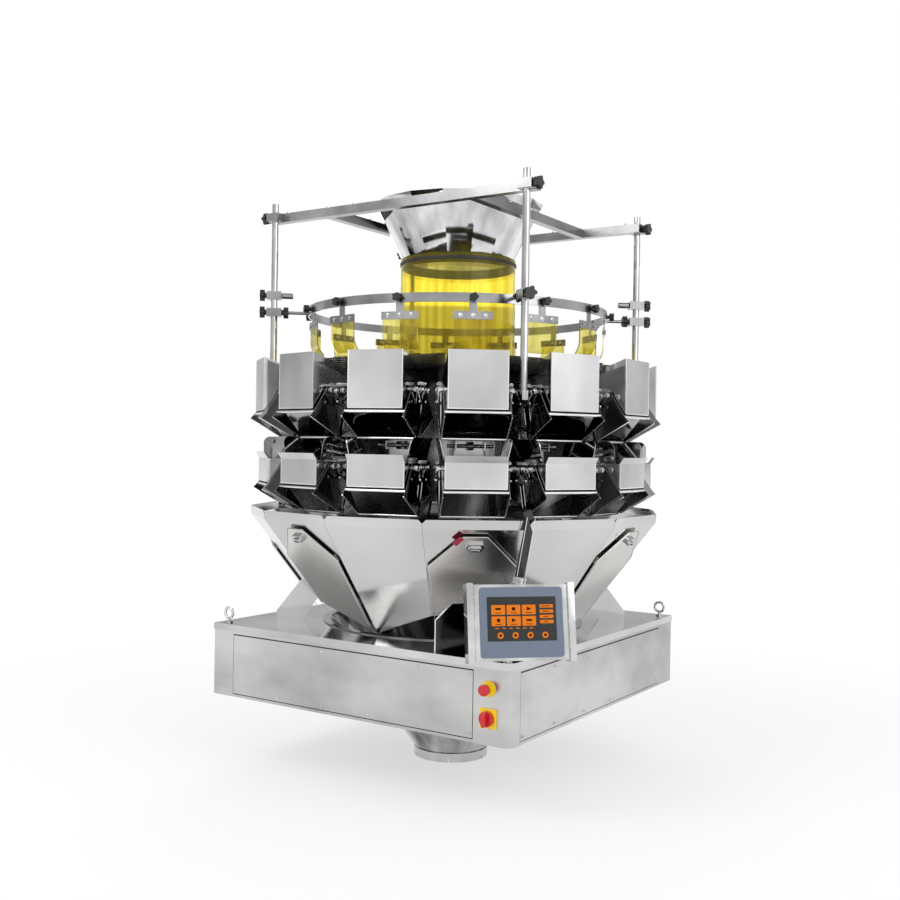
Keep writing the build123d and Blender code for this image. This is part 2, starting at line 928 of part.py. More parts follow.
post_x, post_y = polar(post_ring_radius, post_angle)
bar_y = post_y - post_radius - bar_side / 2
cross_half = bar_y - bar_side / 2 - fit_gap
with BuildPart() as frame_bars:
    with BuildSketch(Plane.YZ.offset(-post_x - clamp_length / 2)):
        with Locations((bar_y, bar_centre), (-bar_y, bar_centre)):
            Rectangle(bar_side, bar_side)
    extrude(amount=2 * post_x + clamp_length)
    with BuildSketch(Plane.XZ.offset(-cross_half)):
        with Locations((cross_bar_x, bar_centre), (-cross_bar_x, bar_centre)):
            Rectangle(bar_side, bar_side)
    extrude(amount=2 * cross_half)
save(frame_bars.part, "frame_bars")

with BuildPart() as post_arms:
    for angle in post_angles:
        with BuildSketch(radial(angle)):
            with Locations((drum_radius - 2, post_bottom - arm_height)):
                Rectangle(post_ring_radius + 14 - drum_radius, arm_height, align=(Align.MIN, Align.MIN))
        extrude(amount=arm_half, both=True)
    with BuildSketch():
        Circle(drum_radius)
    extrude(amount=post_top, mode=Mode.SUBTRACT)
save(post_arms.part, "post_arms")

# Each level: height, and the angles of the posts that carry a clamp there.
clamp_levels = ((ring_clamp_level, post_angles), (sensor_level, sensor_angles))
rod_start = ring_radius + fit_gap
with BuildPart() as post_clamps:
    for level, angles in clamp_levels:
        with BuildSketch(Plane.XY.offset(level - clamp_height / 2)):
            for angle in angles:
                with Locations(Location(polar(post_ring_radius, angle), angle)):
                    Rectangle(clamp_length, clamp_width)
                    Circle(post_radius, mode=Mode.SUBTRACT)
        extrude(amount=clamp_height)
    with BuildSketch(Plane.XY.offset(bar_centre - clamp_height / 2)):
        with Locations(*post_points):
            Rectangle(clamp_length, 2 * post_radius + clamp_wall)
            Circle(post_radius, mode=Mode.SUBTRACT)
    extrude(amount=clamp_height)
    for bar_side_y in (bar_y, -bar_y):
        with BuildSketch(Plane.YZ.offset(-2 * post_x)):
            with Locations((bar_side_y, bar_centre)):
                Rectangle(bar_side + 2 * fit_gap, bar_side + 2 * fit_gap)
        extrude(amount=4 * post_x, mode=Mode.SUBTRACT)
    for angle in post_angles:
        with BuildSketch(facing(*polar(rod_start, angle), ring_clamp_level, angle)):
            Circle(clamp_rod)
        extrude(amount=post_ring_radius - clamp_length / 2 - rod_start)
save(post_clamps.part, "post_clamps")


def star_knob(plane, radius, bore):
    """A five-lobed knob on a short neck, standing on the plane. A bore lets a rod through."""
    with BuildPart() as knob:
        with BuildSketch(plane):
            Circle(radius / 2)
        extrude(amount=knob_neck)
        with BuildSketch(plane.offset(knob_neck)):
            Circle(radius * 0.8)
            with PolarLocations(radius * 0.75, 5):
                Circle(radius / 3)
        extrude(amount=knob_height)
        if bore > 0:
            with BuildSketch(plane):
                Circle(bore)
            extrude(amount=knob_neck + knob_height, mode=Mode.SUBTRACT)
    return knob.part


block_end = post_ring_radius + clamp_length / 2
clamp_seats = []
for level, angles in clamp_levels:
    for angle in angles:
        clamp_seats.append(facing(*polar(block_end, angle), level, angle))
for x, y in post_points:
    outward = 0 if x > 0 else 180
    clamp_seats.append(facing(x + clamp_length / 2 * cos(radians(outward)), y, bar_centre, outward))
rod_seats = []
for angle in post_angles:
    inner_end = polar(post_ring_radius - clamp_length / 2, angle)
    rod_seats.append(facing(*inner_end, ring_clamp_level, angle + 180))
ring_seats = []
for k in range(head_count):
    outer_face = polar(ring_radius, k * head_pitch)
    ring_seats.append(facing(*outer_face, ring_bottom + ring_height / 2, k * head_pitch))
with BuildPart() as star_knobs:
    add([star_knob(seat, knob_radius, 0) for seat in clamp_seats])
    add([star_knob(seat, knob_radius, clamp_rod + fit_gap) for seat in rod_seats])
    add([star_knob(seat, ring_knob_radius, 0) for seat in ring_seats])
save(star_knobs.part, "star_knobs")

# Level sensors, which look inwards over the pans.
with BuildPart() as level_sensors:
    for angle in sensor_angles:
        inner_face = polar(post_ring_radius - clamp_length / 2, angle)
        with BuildSketch(facing(*inner_face, sensor_level, angle + 180)):
            Circle(sensor_radius)
        extrude(amount=sensor_length)
    chamfer(level_sensors.edges().filter_by(GeomType.CIRCLE), 2)
save(level_sensors.part, "level_sensors")

# ================================================================ controls
corner_reach = base_width / 2 / cos(radians(hmi_turn))
hmi_reach = corner_reach - hmi_inset
stand_reach = corner_reach - stand_inset
conduit_reach = corner_reach - conduit_foot_inset
hmi_side = radians(hmi_turn + 90)
hmi_across = Vector(cos(hmi_side), sin(hmi_side), 0)
hmi_centre_z = base_height + hmi_lift + hmi_height / 2
hmi_plane = Plane(
    origin=Vector(*polar(hmi_reach, hmi_turn), hmi_centre_z) + hmi_across * hmi_shift,
    x_dir=hmi_across,
    z_dir=Vector(*polar(cos(radians(hmi_tilt)), hmi_turn), sin(radians(hmi_tilt))),
)
with BuildPart() as hmi_housing:
    with BuildSketch(hmi_plane):
        RectangleRounded(hmi_width, hmi_height - hmi_rail / 2, 3)
    extrude(amount=hmi_depth)
    with BuildSketch(hmi_plane):
        with GridLocations(hmi_width - hmi_rail, 1, 2, 1):
            RectangleRounded(hmi_rail, hmi_height, 3)
    extrude(amount=hmi_depth + hmi_rail_proud)
    with BuildSketch(hmi_plane.offset(hmi_depth - hmi_rail_proud)):
        with GridLocations(hmi_width - 2 * hmi_rail - hmi_groove, 1, 2, 1):
            Rectangle(hmi_groove, hmi_height)
    extrude(amount=2 * hmi_rail_proud, mode=Mode.SUBTRACT)
save(hmi_housing.part, "hmi_housing")

with BuildPart() as hmi_panel:
    with BuildSketch(hmi_plane.offset(hmi_depth)):
        RectangleRounded(bezel_width, bezel_height, 8)
    extrude(amount=bezel_thickness)
    with BuildSketch(hmi_plane.offset(hmi_depth + bezel_thickness - screen_depth)):
        with Locations((0, screen_rise)):
            Rectangle(screen_width, screen_height)
    extrude(amount=screen_depth, mode=Mode.SUBTRACT)
save(hmi_panel.part, "hmi_panel")

# The stand is a plate on the lid before the front leg, with a box that carries the housing.
stand_plane = facing(*polar(stand_reach, hmi_turn), base_height, hmi_turn)
with BuildPart() as hmi_arm:
    with BuildSketch(stand_plane):
        with BuildLine():
            Polyline(
                (-stand_half, 0),
                (-stand_half, stand_height - stand_corner),
                (stand_corner - stand_half, stand_height),
                (stand_half - stand_corner, stand_height),
                (stand_half, stand_height - stand_corner),
                (stand_half, 0),
                close=True,
            )
        make_face()
    extrude(amount=sheet)
    with BuildSketch(stand_plane.offset(sheet)):
        with Locations((hmi_shift, stand_box_rise)):
            Rectangle(stand_box_width, stand_box_height)
    extrude(amount=hmi_reach - stand_reach + hmi_depth / 2)
    with BuildSketch(hmi_plane):
        Rectangle(3 * hmi_width, 3 * hmi_height)
    extrude(amount=4 * hmi_reach, mode=Mode.SUBTRACT)
save(hmi_arm.part, "hmi_arm")

# Square conduit from the back of the housing, up and over the lip of the chute to the drum.
conduit_start = hmi_plane.from_local_coords(Vector(0, conduit_rise, 0))
conduit_foot = Vector(*polar(conduit_reach, conduit_foot_angle), conduit_start.Z)
conduit_bend = Vector(*polar(conduit_reach, conduit_top_angle), conduit_height)
conduit_turn = Vector(*polar(chute_fold_radius - conduit_inset, -post_angle), conduit_height)
conduit_end = Vector(*polar(drum_radius - conduit_side, -post_angle), drum_bottom + conduit_side)
with BuildPart() as hmi_conduit:
    with BuildLine():
        Polyline(conduit_start, conduit_foot, conduit_bend, conduit_turn, conduit_end)
    with BuildSketch(Plane(origin=conduit_start, z_dir=conduit_foot - conduit_start)):
        Rectangle(conduit_side, conduit_side)
    sweep(transition=Transition.RIGHT)
    with BuildSketch(Plane.XY.offset(conduit_foot.Z - conduit_side)):
        with Locations((conduit_foot.X, conduit_foot.Y)):
            Circle(conduit_side * 0.75)
    extrude(amount=conduit_side * 0.75)
    with BuildSketch():
        Circle(drum_radius)
    extrude(amount=drum_top, mode=Mode.SUBTRACT)
    add(leg_slots, mode=Mode.SUBTRACT)
    with BuildSketch(hmi_plane):
        Rectangle(3 * hmi_width, 3 * hmi_height)
    extrude(amount=4 * hmi_reach, mode=Mode.SUBTRACT)
save(hmi_conduit.part, "hmi_conduit")

control_x = base_width / 2 - control_inset
estop_plane = facing(control_x, -base_width / 2, estop_z, -90)
with BuildPart() as estop_collar:
    with BuildSketch(estop_plane):
        Circle(estop_disc_radius)
    extrude(amount=estop_disc_sheet)
    with BuildSketch(estop_plane.offset(estop_disc_sheet)):
        Circle(estop_nut_radius)
        Circle(estop_stem_radius + fit_gap, mode=Mode.SUBTRACT)
    extrude(amount=estop_nut_height)
save(estop_collar.part, "estop_collar")

stem_start = estop_disc_sheet + estop_gap
stem_end = estop_disc_sheet + estop_nut_height + 2 * estop_gap
with BuildPart() as estop_button:
    with BuildSketch(estop_plane.offset(stem_start)):
        Circle(estop_stem_radius)
    extrude(amount=stem_end - stem_start)
    with BuildSketch(estop_plane.offset(stem_end)):
        Circle(estop_head_radius)
    extrude(amount=estop_head_height)
    fillet(estop_button.edges().filter_by(GeomType.CIRCLE).sort_by(Axis.Y)[0], 4)
save(estop_button.part, "estop_button")

switch_plane = facing(control_x, -base_width / 2, switch_z, -90)
with BuildPart() as switch_plate:
    with BuildSketch(switch_plane):
        RectangleRounded(switch_side, switch_side, 3)
    extrude(amount=switch_sheet)
save(switch_plate.part, "switch_plate")

with BuildPart() as switch_knob:
    with BuildSketch(switch_plane.offset(switch_sheet + switch_gap)):
        Circle(switch_disc_radius)
    extrude(amount=switch_disc_height)
    with BuildSketch(switch_plane.offset(switch_sheet + switch_gap + switch_disc_height)):
        SlotOverall(switch_grip_length, switch_grip_width, rotation=90)
    extrude(amount=switch_grip_width)
save(switch_knob.part, "switch_knob")
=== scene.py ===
import math

import bpy
import numpy as np
from mathutils import Matrix, Vector


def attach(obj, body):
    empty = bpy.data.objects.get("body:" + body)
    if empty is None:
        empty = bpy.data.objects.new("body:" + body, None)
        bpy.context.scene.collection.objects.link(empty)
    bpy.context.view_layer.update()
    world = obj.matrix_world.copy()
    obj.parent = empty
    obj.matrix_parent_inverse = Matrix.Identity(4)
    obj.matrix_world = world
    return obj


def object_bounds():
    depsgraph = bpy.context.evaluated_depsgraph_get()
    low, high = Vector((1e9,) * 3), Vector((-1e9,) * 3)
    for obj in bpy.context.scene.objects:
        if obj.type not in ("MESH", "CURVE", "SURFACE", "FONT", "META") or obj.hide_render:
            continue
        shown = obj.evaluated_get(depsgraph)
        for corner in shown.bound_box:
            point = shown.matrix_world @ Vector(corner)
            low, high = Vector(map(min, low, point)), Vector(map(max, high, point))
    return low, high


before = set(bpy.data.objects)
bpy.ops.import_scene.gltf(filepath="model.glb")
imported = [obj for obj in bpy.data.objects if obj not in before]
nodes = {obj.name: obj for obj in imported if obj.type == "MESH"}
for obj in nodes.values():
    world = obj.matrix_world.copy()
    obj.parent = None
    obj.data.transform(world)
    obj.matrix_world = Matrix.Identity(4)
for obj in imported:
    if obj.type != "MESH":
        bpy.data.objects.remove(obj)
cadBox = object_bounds()
print("frame loaded:", len(nodes), "nodes")

headCount = 14
headPitch = 360 / headCount
mm = 0.001


# camera: stands off the control corner, level with the hoppers
cameraSettings = {
    "azimuth": 33.256,  # degrees, 0 looks along +Y
    "distance": 3.3249,  # metres from the machine's axis
    "height": 0.7235,
    "yaw": 0.2805,  # small turns of the camera head, degrees
    "pitch": -0.1292,
    "roll": 0.9215,
    "lens": 43.885,
}


def placeCamera(s):
    # Stands on a circle about the machine's axis and looks at the axis, but for the head's small turns.
    camera = bpy.data.objects.new("camera", bpy.data.cameras.new("camera"))
    camera.data.lens = s["lens"]
    camera.data.sensor_width = 36
    a = math.radians(s["azimuth"])
    swing = Matrix.Rotation(a + math.radians(s["yaw"]), 4, "Z")
    tip = Matrix.Rotation(math.radians(90 + s["pitch"]), 4, "X")
    roll = Matrix.Rotation(math.radians(s["roll"]), 4, "Z")
    spot = Matrix.Translation((s["distance"] * math.sin(a), -s["distance"] * math.cos(a), s["height"]))
    camera.matrix_world = spot @ swing @ tip @ roll
    bpy.context.scene.collection.objects.link(camera)
    bpy.context.scene.camera = camera
    return camera


camera = placeCamera(cameraSettings)


# material helpers
def linear(hexColour):
    # sRGB hex to linear RGBA: each channel c becomes c/12.92 below 0.04045, else ((c+0.055)/1.055)^2.4.
    srgb = [int(hexColour[i : i + 2], 16) / 255 for i in (1, 3, 5)]
    return tuple(c / 12.92 if c <= 0.04045 else ((c + 0.055) / 1.055) ** 2.4 for c in srgb) + (1.0,)


def addNode(tree, kind, settings=None, links=None):
    # Adds one shader node. Settings name its properties or sockets, links name the sockets that feed it.
    node = tree.nodes.new(kind)
    for key, value in (settings or {}).items():
        if isinstance(key, str) and hasattr(node, key) and key not in node.inputs:
            setattr(node, key, value)
        else:
            node.inputs[key].default_value = value
    for key, source in (links or {}).items():
        tree.links.new(source, node.inputs[key])
    return node


def newMaterial(name):
    material = bpy.data.materials.new(name)
    material.use_nodes = True
    tree = material.node_tree
    tree.nodes.clear()
    return material, tree


def finishMaterial(tree, shader):
    addNode(tree, "ShaderNodeOutputMaterial", links={"Surface": shader.outputs[0]})


def objectPattern(tree, scale):
    # Where a pattern is read: the object's own place in metres, times a scale for each axis.
    where = addNode(tree, "ShaderNodeTexCoord")
    return addNode(
        tree,
        "ShaderNodeMapping",
        {"Scale": scale},
        {"Vector": where.outputs["Object"]},
    ).outputs[0]


def steel(name, dark, light, roughness, spread, cloud, grain, grainBump):
    # Stainless steel. Two octaves of cloud noise mix the dark and light tones and move the roughness; a
    # fine stretched noise is the rolled or brushed grain, as bump.
    material, tree = newMaterial(name)
    clouds = addNode(
        tree,
        "ShaderNodeTexNoise",
        {"Scale": 1.0, "Detail": 3.0, "Roughness": 0.55},
        {"Vector": objectPattern(tree, cloud)},
    )
    tone = addNode(tree, "ShaderNodeValToRGB", links={"Fac": clouds.outputs["Fac"]})
    tone.color_ramp.elements[0].position = 0.32
    tone.color_ramp.elements[0].color = linear(dark)
    tone.color_ramp.elements[1].position = 0.68
    tone.color_ramp.elements[1].color = linear(light)
    polish = addNode(
        tree,
        "ShaderNodeMapRange",
        {"From Min": 0.25, "From Max": 0.75, "To Min": roughness - spread, "To Max": roughness + spread},
        {"Value": clouds.outputs["Fac"]},
    )
    lines = addNode(
        tree,
        "ShaderNodeTexNoise",
        {"Scale": 1.0, "Detail": 2.0},
        {"Vector": objectPattern(tree, grain)},
    )
    relief = addNode(
        tree,
        "ShaderNodeBump",
        {"Strength": grainBump, "Distance": 0.0004},
        {"Height": lines.outputs["Fac"]},
    )
    shader = addNode(
        tree,
        "ShaderNodeBsdfPrincipled",
        {"Metallic": 1.0},
        {
            "Base Color": tone.outputs["Color"],
            "Roughness": polish.outputs[0],
            "Normal": relief.outputs[0],
        },
    )
    finishMaterial(tree, shader)
    return material


def plastic(name, colour, roughness, coat=0.0, mottle=0.06, metallic=0.0):
    # Moulded plastic or paint: one colour with a faint mottle and a fine orange-peel bump.
    material, tree = newMaterial(name)
    noise = addNode(
        tree,
        "ShaderNodeTexNoise",
        {"Scale": 60.0, "Detail": 2.0},
        {"Vector": objectPattern(tree, (1, 1, 1))},
    )
    base = linear(colour)
    low = tuple(c * (1 - mottle) for c in base[:3]) + (1.0,)
    high = tuple(min(1.0, c * (1 + mottle)) for c in base[:3]) + (1.0,)
    tone = addNode(tree, "ShaderNodeMix", {"data_type": "RGBA", 6: low, 7: high}, {0: noise.outputs["Fac"]})
    relief = addNode(
        tree,
        "ShaderNodeBump",
        {"Strength": 0.08, "Distance": 0.0003},
        {"Height": noise.outputs["Fac"]},
    )
    shader = addNode(
        tree,
        "ShaderNodeBsdfPrincipled",
        {"Roughness": roughness, "Coat Weight": coat, "Metallic": metallic, "IOR": 1.5},
        {"Base Color": tone.outputs[2], "Normal": relief.outputs[0]},
    )
    finishMaterial(tree, shader)
    return material


def clearSheet(name, colour, deepColour, roughness, bandTop, bandHeight):
    # Clear tinted polyurethane. The tint deepens in upright streaks, and above the band's foot, in mm.
    material, tree = newMaterial(name)
    streaks = addNode(
        tree,
        "ShaderNodeTexNoise",
        {"Scale": 1.0, "Detail": 3.0, "Roughness": 0.6},
        {"Vector": objectPattern(tree, (48, 48, 1.6))},
    )
    where = addNode(tree, "ShaderNodeTexCoord")
    axes = addNode(tree, "ShaderNodeSeparateXYZ", links={"Vector": where.outputs["Object"]})
    bandFoot = bandTop - bandHeight
    band = addNode(
        tree,
        "ShaderNodeMapRange",
        {"From Min": bandFoot * mm, "From Max": (bandFoot + 2) * mm, "To Max": 0.75},
        {"Value": axes.outputs["Z"]},
    )
    amount = addNode(
        tree,
        "ShaderNodeMapRange",
        {"From Min": 0.38, "From Max": 0.72, "To Max": 0.8},
        {"Value": streaks.outputs["Fac"]},
    )
    most = addNode(
        tree,
        "ShaderNodeMath",
        {"operation": "MAXIMUM"},
        {0: band.outputs[0], 1: amount.outputs[0]},
    )
    tone = addNode(
        tree,
        "ShaderNodeMix",
        {"data_type": "RGBA", 6: linear(colour), 7: linear(deepColour)},
        {0: most.outputs[0]},
    )
    shader = addNode(
        tree,
        "ShaderNodeBsdfPrincipled",
        {"Roughness": roughness, "Transmission Weight": 0.9, "IOR": 1.2},
        {"Base Color": tone.outputs[2]},
    )
    finishMaterial(tree, shader)
    return material


def dimpledSteel(name, dark, light, roughness, pitch):
    # Embossed stainless plate: round dimples, from the distance to the nearest cell centre, as bump. The tone
    # follows the same distance, light in each dimple and dark on the ridges between: painted light and shade
    # of the relief.
    material, tree = newMaterial(name)
    cells = addNode(
        tree,
        "ShaderNodeTexVoronoi",
        {"Scale": 1000.0 / pitch, "Randomness": 0.35},
        {"Vector": objectPattern(tree, (1, 1, 1))},
    )
    tone = addNode(tree, "ShaderNodeValToRGB", links={"Fac": cells.outputs["Distance"]})
    tone.color_ramp.elements[0].color = linear(light)
    tone.color_ramp.elements[1].color = linear(dark)
    relief = addNode(
        tree,
        "ShaderNodeBump",
        {"Strength": 0.9, "Distance": 0.0012},
        {"Height": cells.outputs["Distance"]},
    )
    shader = addNode(
        tree,
        "ShaderNodeBsdfPrincipled",
        {"Metallic": 1.0, "Roughness": roughness},
        {"Base Color": tone.outputs["Color"], "Normal": relief.outputs[0]},
    )
    finishMaterial(tree, shader)
    return material


def litScreen(name, colour, strength):
    # A lit part of the display: one colour, a little uneven from the backlight behind it.
    material, tree = newMaterial(name)
    noise = addNode(
        tree,
        "ShaderNodeTexNoise",
        {"Scale": 40.0, "Detail": 1.0},
        {"Vector": objectPattern(tree, (1, 1, 1))},
    )
    base = linear(colour)
    low = tuple(c * 0.85 for c in base[:3]) + (1.0,)
    tone = addNode(tree, "ShaderNodeMix", {"data_type": "RGBA", 6: low, 7: base}, {0: noise.outputs["Fac"]})
    glow = addNode(tree, "ShaderNodeEmission", {"Strength": strength}, {"Color": tone.outputs[2]})
    finishMaterial(tree, glow)
    return material


# materials, by the real stuff and its finish
# steel takes: name, dark tone, light tone, roughness, its spread, cloud scale, grain scale, grain bump
# 2B sheet, ground with a fine belt: soft grey, sharpens only at a glance
satinSteel = steel(
    "satin_stainless_plate", "#b4b4b5", "#dedede", 0.27, 0.05, (3.4, 3.4, 2.0), (60, 60, 1200), 0.02
)
# brushed covers, cloudy from wiping
brushedSteel = steel(
    "brushed_stainless_cover", "#a6a6a6", "#d2d2d1", 0.28, 0.07, (3, 3, 5), (60, 60, 1500), 0.05
)
lidSteel = steel(
    "polished_stainless_lid", "#b0b0b1", "#d6d6d7", 0.11, 0.04, (2, 2, 2), (500, 500, 40), 0.04
)
barSteel = steel("ground_stainless_bar", "#848485", "#b0b0b1", 0.22, 0.06, (6, 6, 6), (200, 200, 200), 0.02)
# bright-annealed sheet, nearly a mirror; the moving gates get a darker base tone, painted dark reflection of
# the dark they face
gatePaintedDarkMirror = steel("mirror_stainless_gate_painted_dark", "#6a6a6a", "#9c9c9c", 0.06, 0.03, (5, 5, 5), (30, 30, 30), 0.06)
sideMirror = steel("mirror_stainless_side", "#a4a4a5", "#d2d2d3", 0.08, 0.03, (7, 7, 7), (30, 30, 30), 0.07)
# darker copy of the mirror steel for the inner and rear gates, the hopper backs and the base funnel: painted
# shade
paintedShadeMirror = steel(
    "mirror_stainless_painted_shade", "#6f6f6f", "#a2a2a2", 0.1, 0.04, (7, 7, 7), (30, 30, 30), 0.07
)
# near-black copy of the mirror steel for the panel's arm: painted dark reflection
paintedDarkStandMirror = steel(
    "mirror_stainless_stand_painted_dark", "#2c2c2d", "#48484a", 0.12, 0.04, (7, 7, 7), (30, 30, 30), 0.03
)
arms = steel("mirror_stainless_arm", "#b4b4b5", "#dededf", 0.08, 0.03, (9, 9, 9), (30, 30, 30), 0.05)
brightMirror = steel(
    "mirror_stainless_bright", "#a2a2a3", "#d4d4d5", 0.06, 0.02, (9, 9, 9), (30, 30, 30), 0.02
)
# the funnel's upright streaks, from mid grey to near white, are painted reflection
funnelPaintedStreakMirror = steel(
    "mirror_stainless_funnel_painted_reflection", "#8c8c8e", "#ededee", 0.05, 0.02, (11, 11, 0.5), (30, 30, 3), 0.03
)
# near-white steel: its light tone is painted highlight on the strips and beads along edges; the gate springs
# share it
highlightSteel = steel(
    "painted_highlight_stainless", "#e2e2e2", "#f6f6f6", 0.26, 0.04, (9, 9, 9), (300, 300, 300), 0.02
)
coneSteel = steel("spun_stainless_cone", "#5c5c5e", "#e0e0e1", 0.14, 0.04, (9, 9, 0.4), (40, 40, 900), 0.02)
chuteSteel = steel(
    "satin_stainless_chute", "#b8b8b8", "#d8d8d7", 0.13, 0.04, (1.6, 1.6, 1.6), (300, 300, 60), 0.03
)
doorSteel = steel(
    "satin_stainless_door", "#c2c1be", "#e4e2df", 0.26, 0.05, (2.5, 2.5, 2.5), (300, 300, 60), 0.02
)
castAlloy = steel(
    "ground_stainless_drum", "#9a9a9b", "#c6c6c7", 0.2, 0.05, (14, 14, 2), (60, 60, 900), 0.06
)
dimpled = dimpledSteel("dimpled_stainless_pan", "#2a2a2a", "#949494", 0.24, 5.0)
dimpledCone = dimpledSteel("dimpled_stainless_cone", "#4a4a4a", "#a8a8a8", 0.26, 6.0)
blackPlastic = plastic("black_nylon", "#17181a", 0.42)
darkRubber = plastic("dark_drive_casing", "#1d1d1e", 0.5)
conduitPaint = plastic("black_conduit", "#0b0b0c", 0.34)
bezelPaint = plastic("blue_grey_bezel", "#626e80", 0.42, 0.15, 0.03)
screenGlass = plastic("dark_display_glass", "#070809", 0.5, 0.0, 0.02)
redPlastic = plastic("red_polycarbonate", "#c4141c", 0.3, 0.3)
yellowPlastic = plastic("yellow_abs", "#f0cf1e", 0.38, 0.1)
tagPlastic = plastic("dark_red_tag", "#9c1638", 0.35, 0.2)
tubeSheet = clearSheet("amber_polyurethane_tube", "#efe680", "#c9b746", 0.05, 1286, 40)
flapSheet = clearSheet("amber_polyurethane_flap", "#f2e98a", "#c8b850", 0.06, 1083, 21)
screenTile = litScreen("display_tile", "#f0832a", 1.0)
screenMark = litScreen("display_mark", "#5a2a0c", 0.7)

finishes = {
    satinSteel: ["hopper_fronts"],
    barSteel: ["frame_bars", "post_clamps", "flap_ring", "flap_brackets", "level_sensors"],
    brushedSteel: ["side_covers", "control_corner", "base_housing"],
    lidSteel: ["base_lid", "drum_legs"],
    coneSteel: ["outlet_cone"],
    gatePaintedDarkMirror: [],
    paintedDarkStandMirror: ["hmi_arm"],
    conduitPaint: ["hmi_conduit"],
    funnelPaintedStreakMirror: ["infeed_funnel"],
    sideMirror: ["hopper_sides", "weigh_deflectors"],
    paintedShadeMirror: ["inner_gates", "rear_gates", "hopper_backs", "base_funnel"],
    arms: ["fixed_gate_arms", "gate_pins", "door_latches", "outlet_collar", "eyebolts"],
    brightMirror: ["posts", "hmi_housing", "post_arms"],
    chuteSteel: ["chute_panels"],
    doorSteel: ["chute_doors"],
    castAlloy: ["drum", "drive_boxes"],
    dimpled: ["pan_floors", "pan_walls"],
    dimpledCone: ["top_cone"],
    bezelPaint: ["hmi_panel"],
    blackPlastic: ["star_knobs"],
    darkRubber: ["vibrators", "funnel_collar"],
    redPlastic: ["estop_button", "switch_knob"],
    yellowPlastic: ["estop_collar", "switch_plate"],
    tubeSheet: ["infeed_tube"],
    flapSheet: ["flaps"],
}
for name in nodes:
    if name.startswith(("feed_gate_", "weigh_gate_")):
        finishes[gatePaintedDarkMirror].append(name)
for material, names in finishes.items():
    for name in names:
        piece = nodes[name]
        piece.data.materials.clear()
        piece.data.materials.append(material)
unfinished = set(nodes) - {name for names in finishes.values() for name in names}
print("materials set; nodes left bare:", sorted(unfinished))


# shapes, in mm; each is (vertices, faces)
def gridFaces(rows, cols, closed=False):
    # Quads of a grid whose columns wrap round; with closed its rows wrap too.
    i = np.arange(rows if closed else rows - 1)[:, None]
    j = np.arange(cols)[None, :]
    a, b = i * cols, (i + 1) % rows * cols
    k = (j + 1) % cols
    return np.stack([a + j, a + k, b + k, b + j], -1).reshape(-1, 4).tolist()


def rings(stack):
    # Skin over a stack of rings, shape (rings, points, 3), capped flat at both ends.
    rows, cols = stack.shape[:2]
    last = (rows - 1) * cols
    caps = [list(range(cols))[::-1], list(range(last, last + cols))]
    return stack.reshape(-1, 3), gridFaces(rows, cols) + caps


def revolve(profile, sides):
    # Point (r, h) of the profile at turn a becomes (r cos a, r sin a, h).
    r, h = np.array(profile, float).T
    a = np.arange(sides) * 2 * np.pi / sides
    heights = np.repeat(h[:, None], sides, 1)
    return rings(np.stack([np.outer(r, np.cos(a)), np.outer(r, np.sin(a)), heights], -1))


def slab(outline, thick, bevel=0.4):
    # Plate on z = 0: its outline goes straight up and draws in by the bevel towards the middle at the top.
    flat = np.array(outline, float)
    middle = flat.mean(0)
    reach = np.linalg.norm(flat - middle, axis=1)[:, None]
    inner = middle + (flat - middle) * (1 - bevel / reach)
    levels = ((flat, 0), (flat, thick - bevel), (inner, thick))
    return rings(np.stack([np.column_stack([ring, np.full(len(ring), z)]) for ring, z in levels]))


def sweep(path, section, up, closed=False):
    # Section (across, rise) carried along a path. Across is the path's direction crossed with up.
    path = np.array(path, float)
    step = np.roll(path, -1, 0) - np.roll(path, 1, 0) if closed else np.gradient(path, axis=0)
    step /= np.linalg.norm(step, axis=1)[:, None]
    across = np.cross(step, np.array(up, float))
    across /= np.linalg.norm(across, axis=1)[:, None]
    rise = np.cross(across, step)
    s = np.array(section, float)
    stack = path[:, None] + s[None, :, :1] * across[:, None] + s[None, :, 1:] * rise[:, None]
    if closed:
        return stack.reshape(-1, 3), gridFaces(len(path), len(s), True)
    return rings(stack)


def hem(width, thick):
    # Section of a flat strip with rounded shoulders.
    half, soft, shoulder = width / 2, thick * 0.4, thick * 0.6
    left = [(-half, 0), (-half, shoulder), (-half + soft, thick)]
    return left + [(-x, y) for x, y in left[::-1]]


def bead(width):
    # Half-round section.
    angles = np.linspace(np.pi, 0, 7)
    return np.column_stack([np.cos(angles), np.sin(angles)]) * width / 2


def slot(length, width, steps=8):
    # Outline with round ends.
    a = np.linspace(-np.pi / 2, np.pi / 2, steps)
    reach, r = (length - width) / 2, width / 2
    right = np.column_stack([reach + r * np.cos(a), r * np.sin(a)])
    return np.vstack([right, -right])


def roundedBox(width, height, radius, steps=5):
    # Outline of a box whose corners are quarter circles.
    a = np.linspace(0, np.pi / 2, steps)
    arc = np.column_stack([np.cos(a), np.sin(a)]) * radius
    out = []
    for quarter, (signX, signY) in enumerate(((1, 1), (-1, 1), (-1, -1), (1, -1))):
        c, s = round(math.cos(quarter * math.pi / 2)), round(math.sin(quarter * math.pi / 2))
        spun = arc @ np.array([[c, s], [-s, c]])
        out.append(spun + (signX * (width / 2 - radius), signY * (height / 2 - radius)))
    return np.vstack(out)


def stand(point, normal, up=(0, 0, 1)):
    # Matrix that stands a shape's z along the normal at the point, its y turned to up.
    z = np.array(normal, float) / np.linalg.norm(normal)
    x = np.cross(np.array(up, float), z)
    x /= np.linalg.norm(x)
    m = np.eye(4)
    m[:3, 0], m[:3, 1], m[:3, 2], m[:3, 3] = x, np.cross(z, x), z, point
    return m


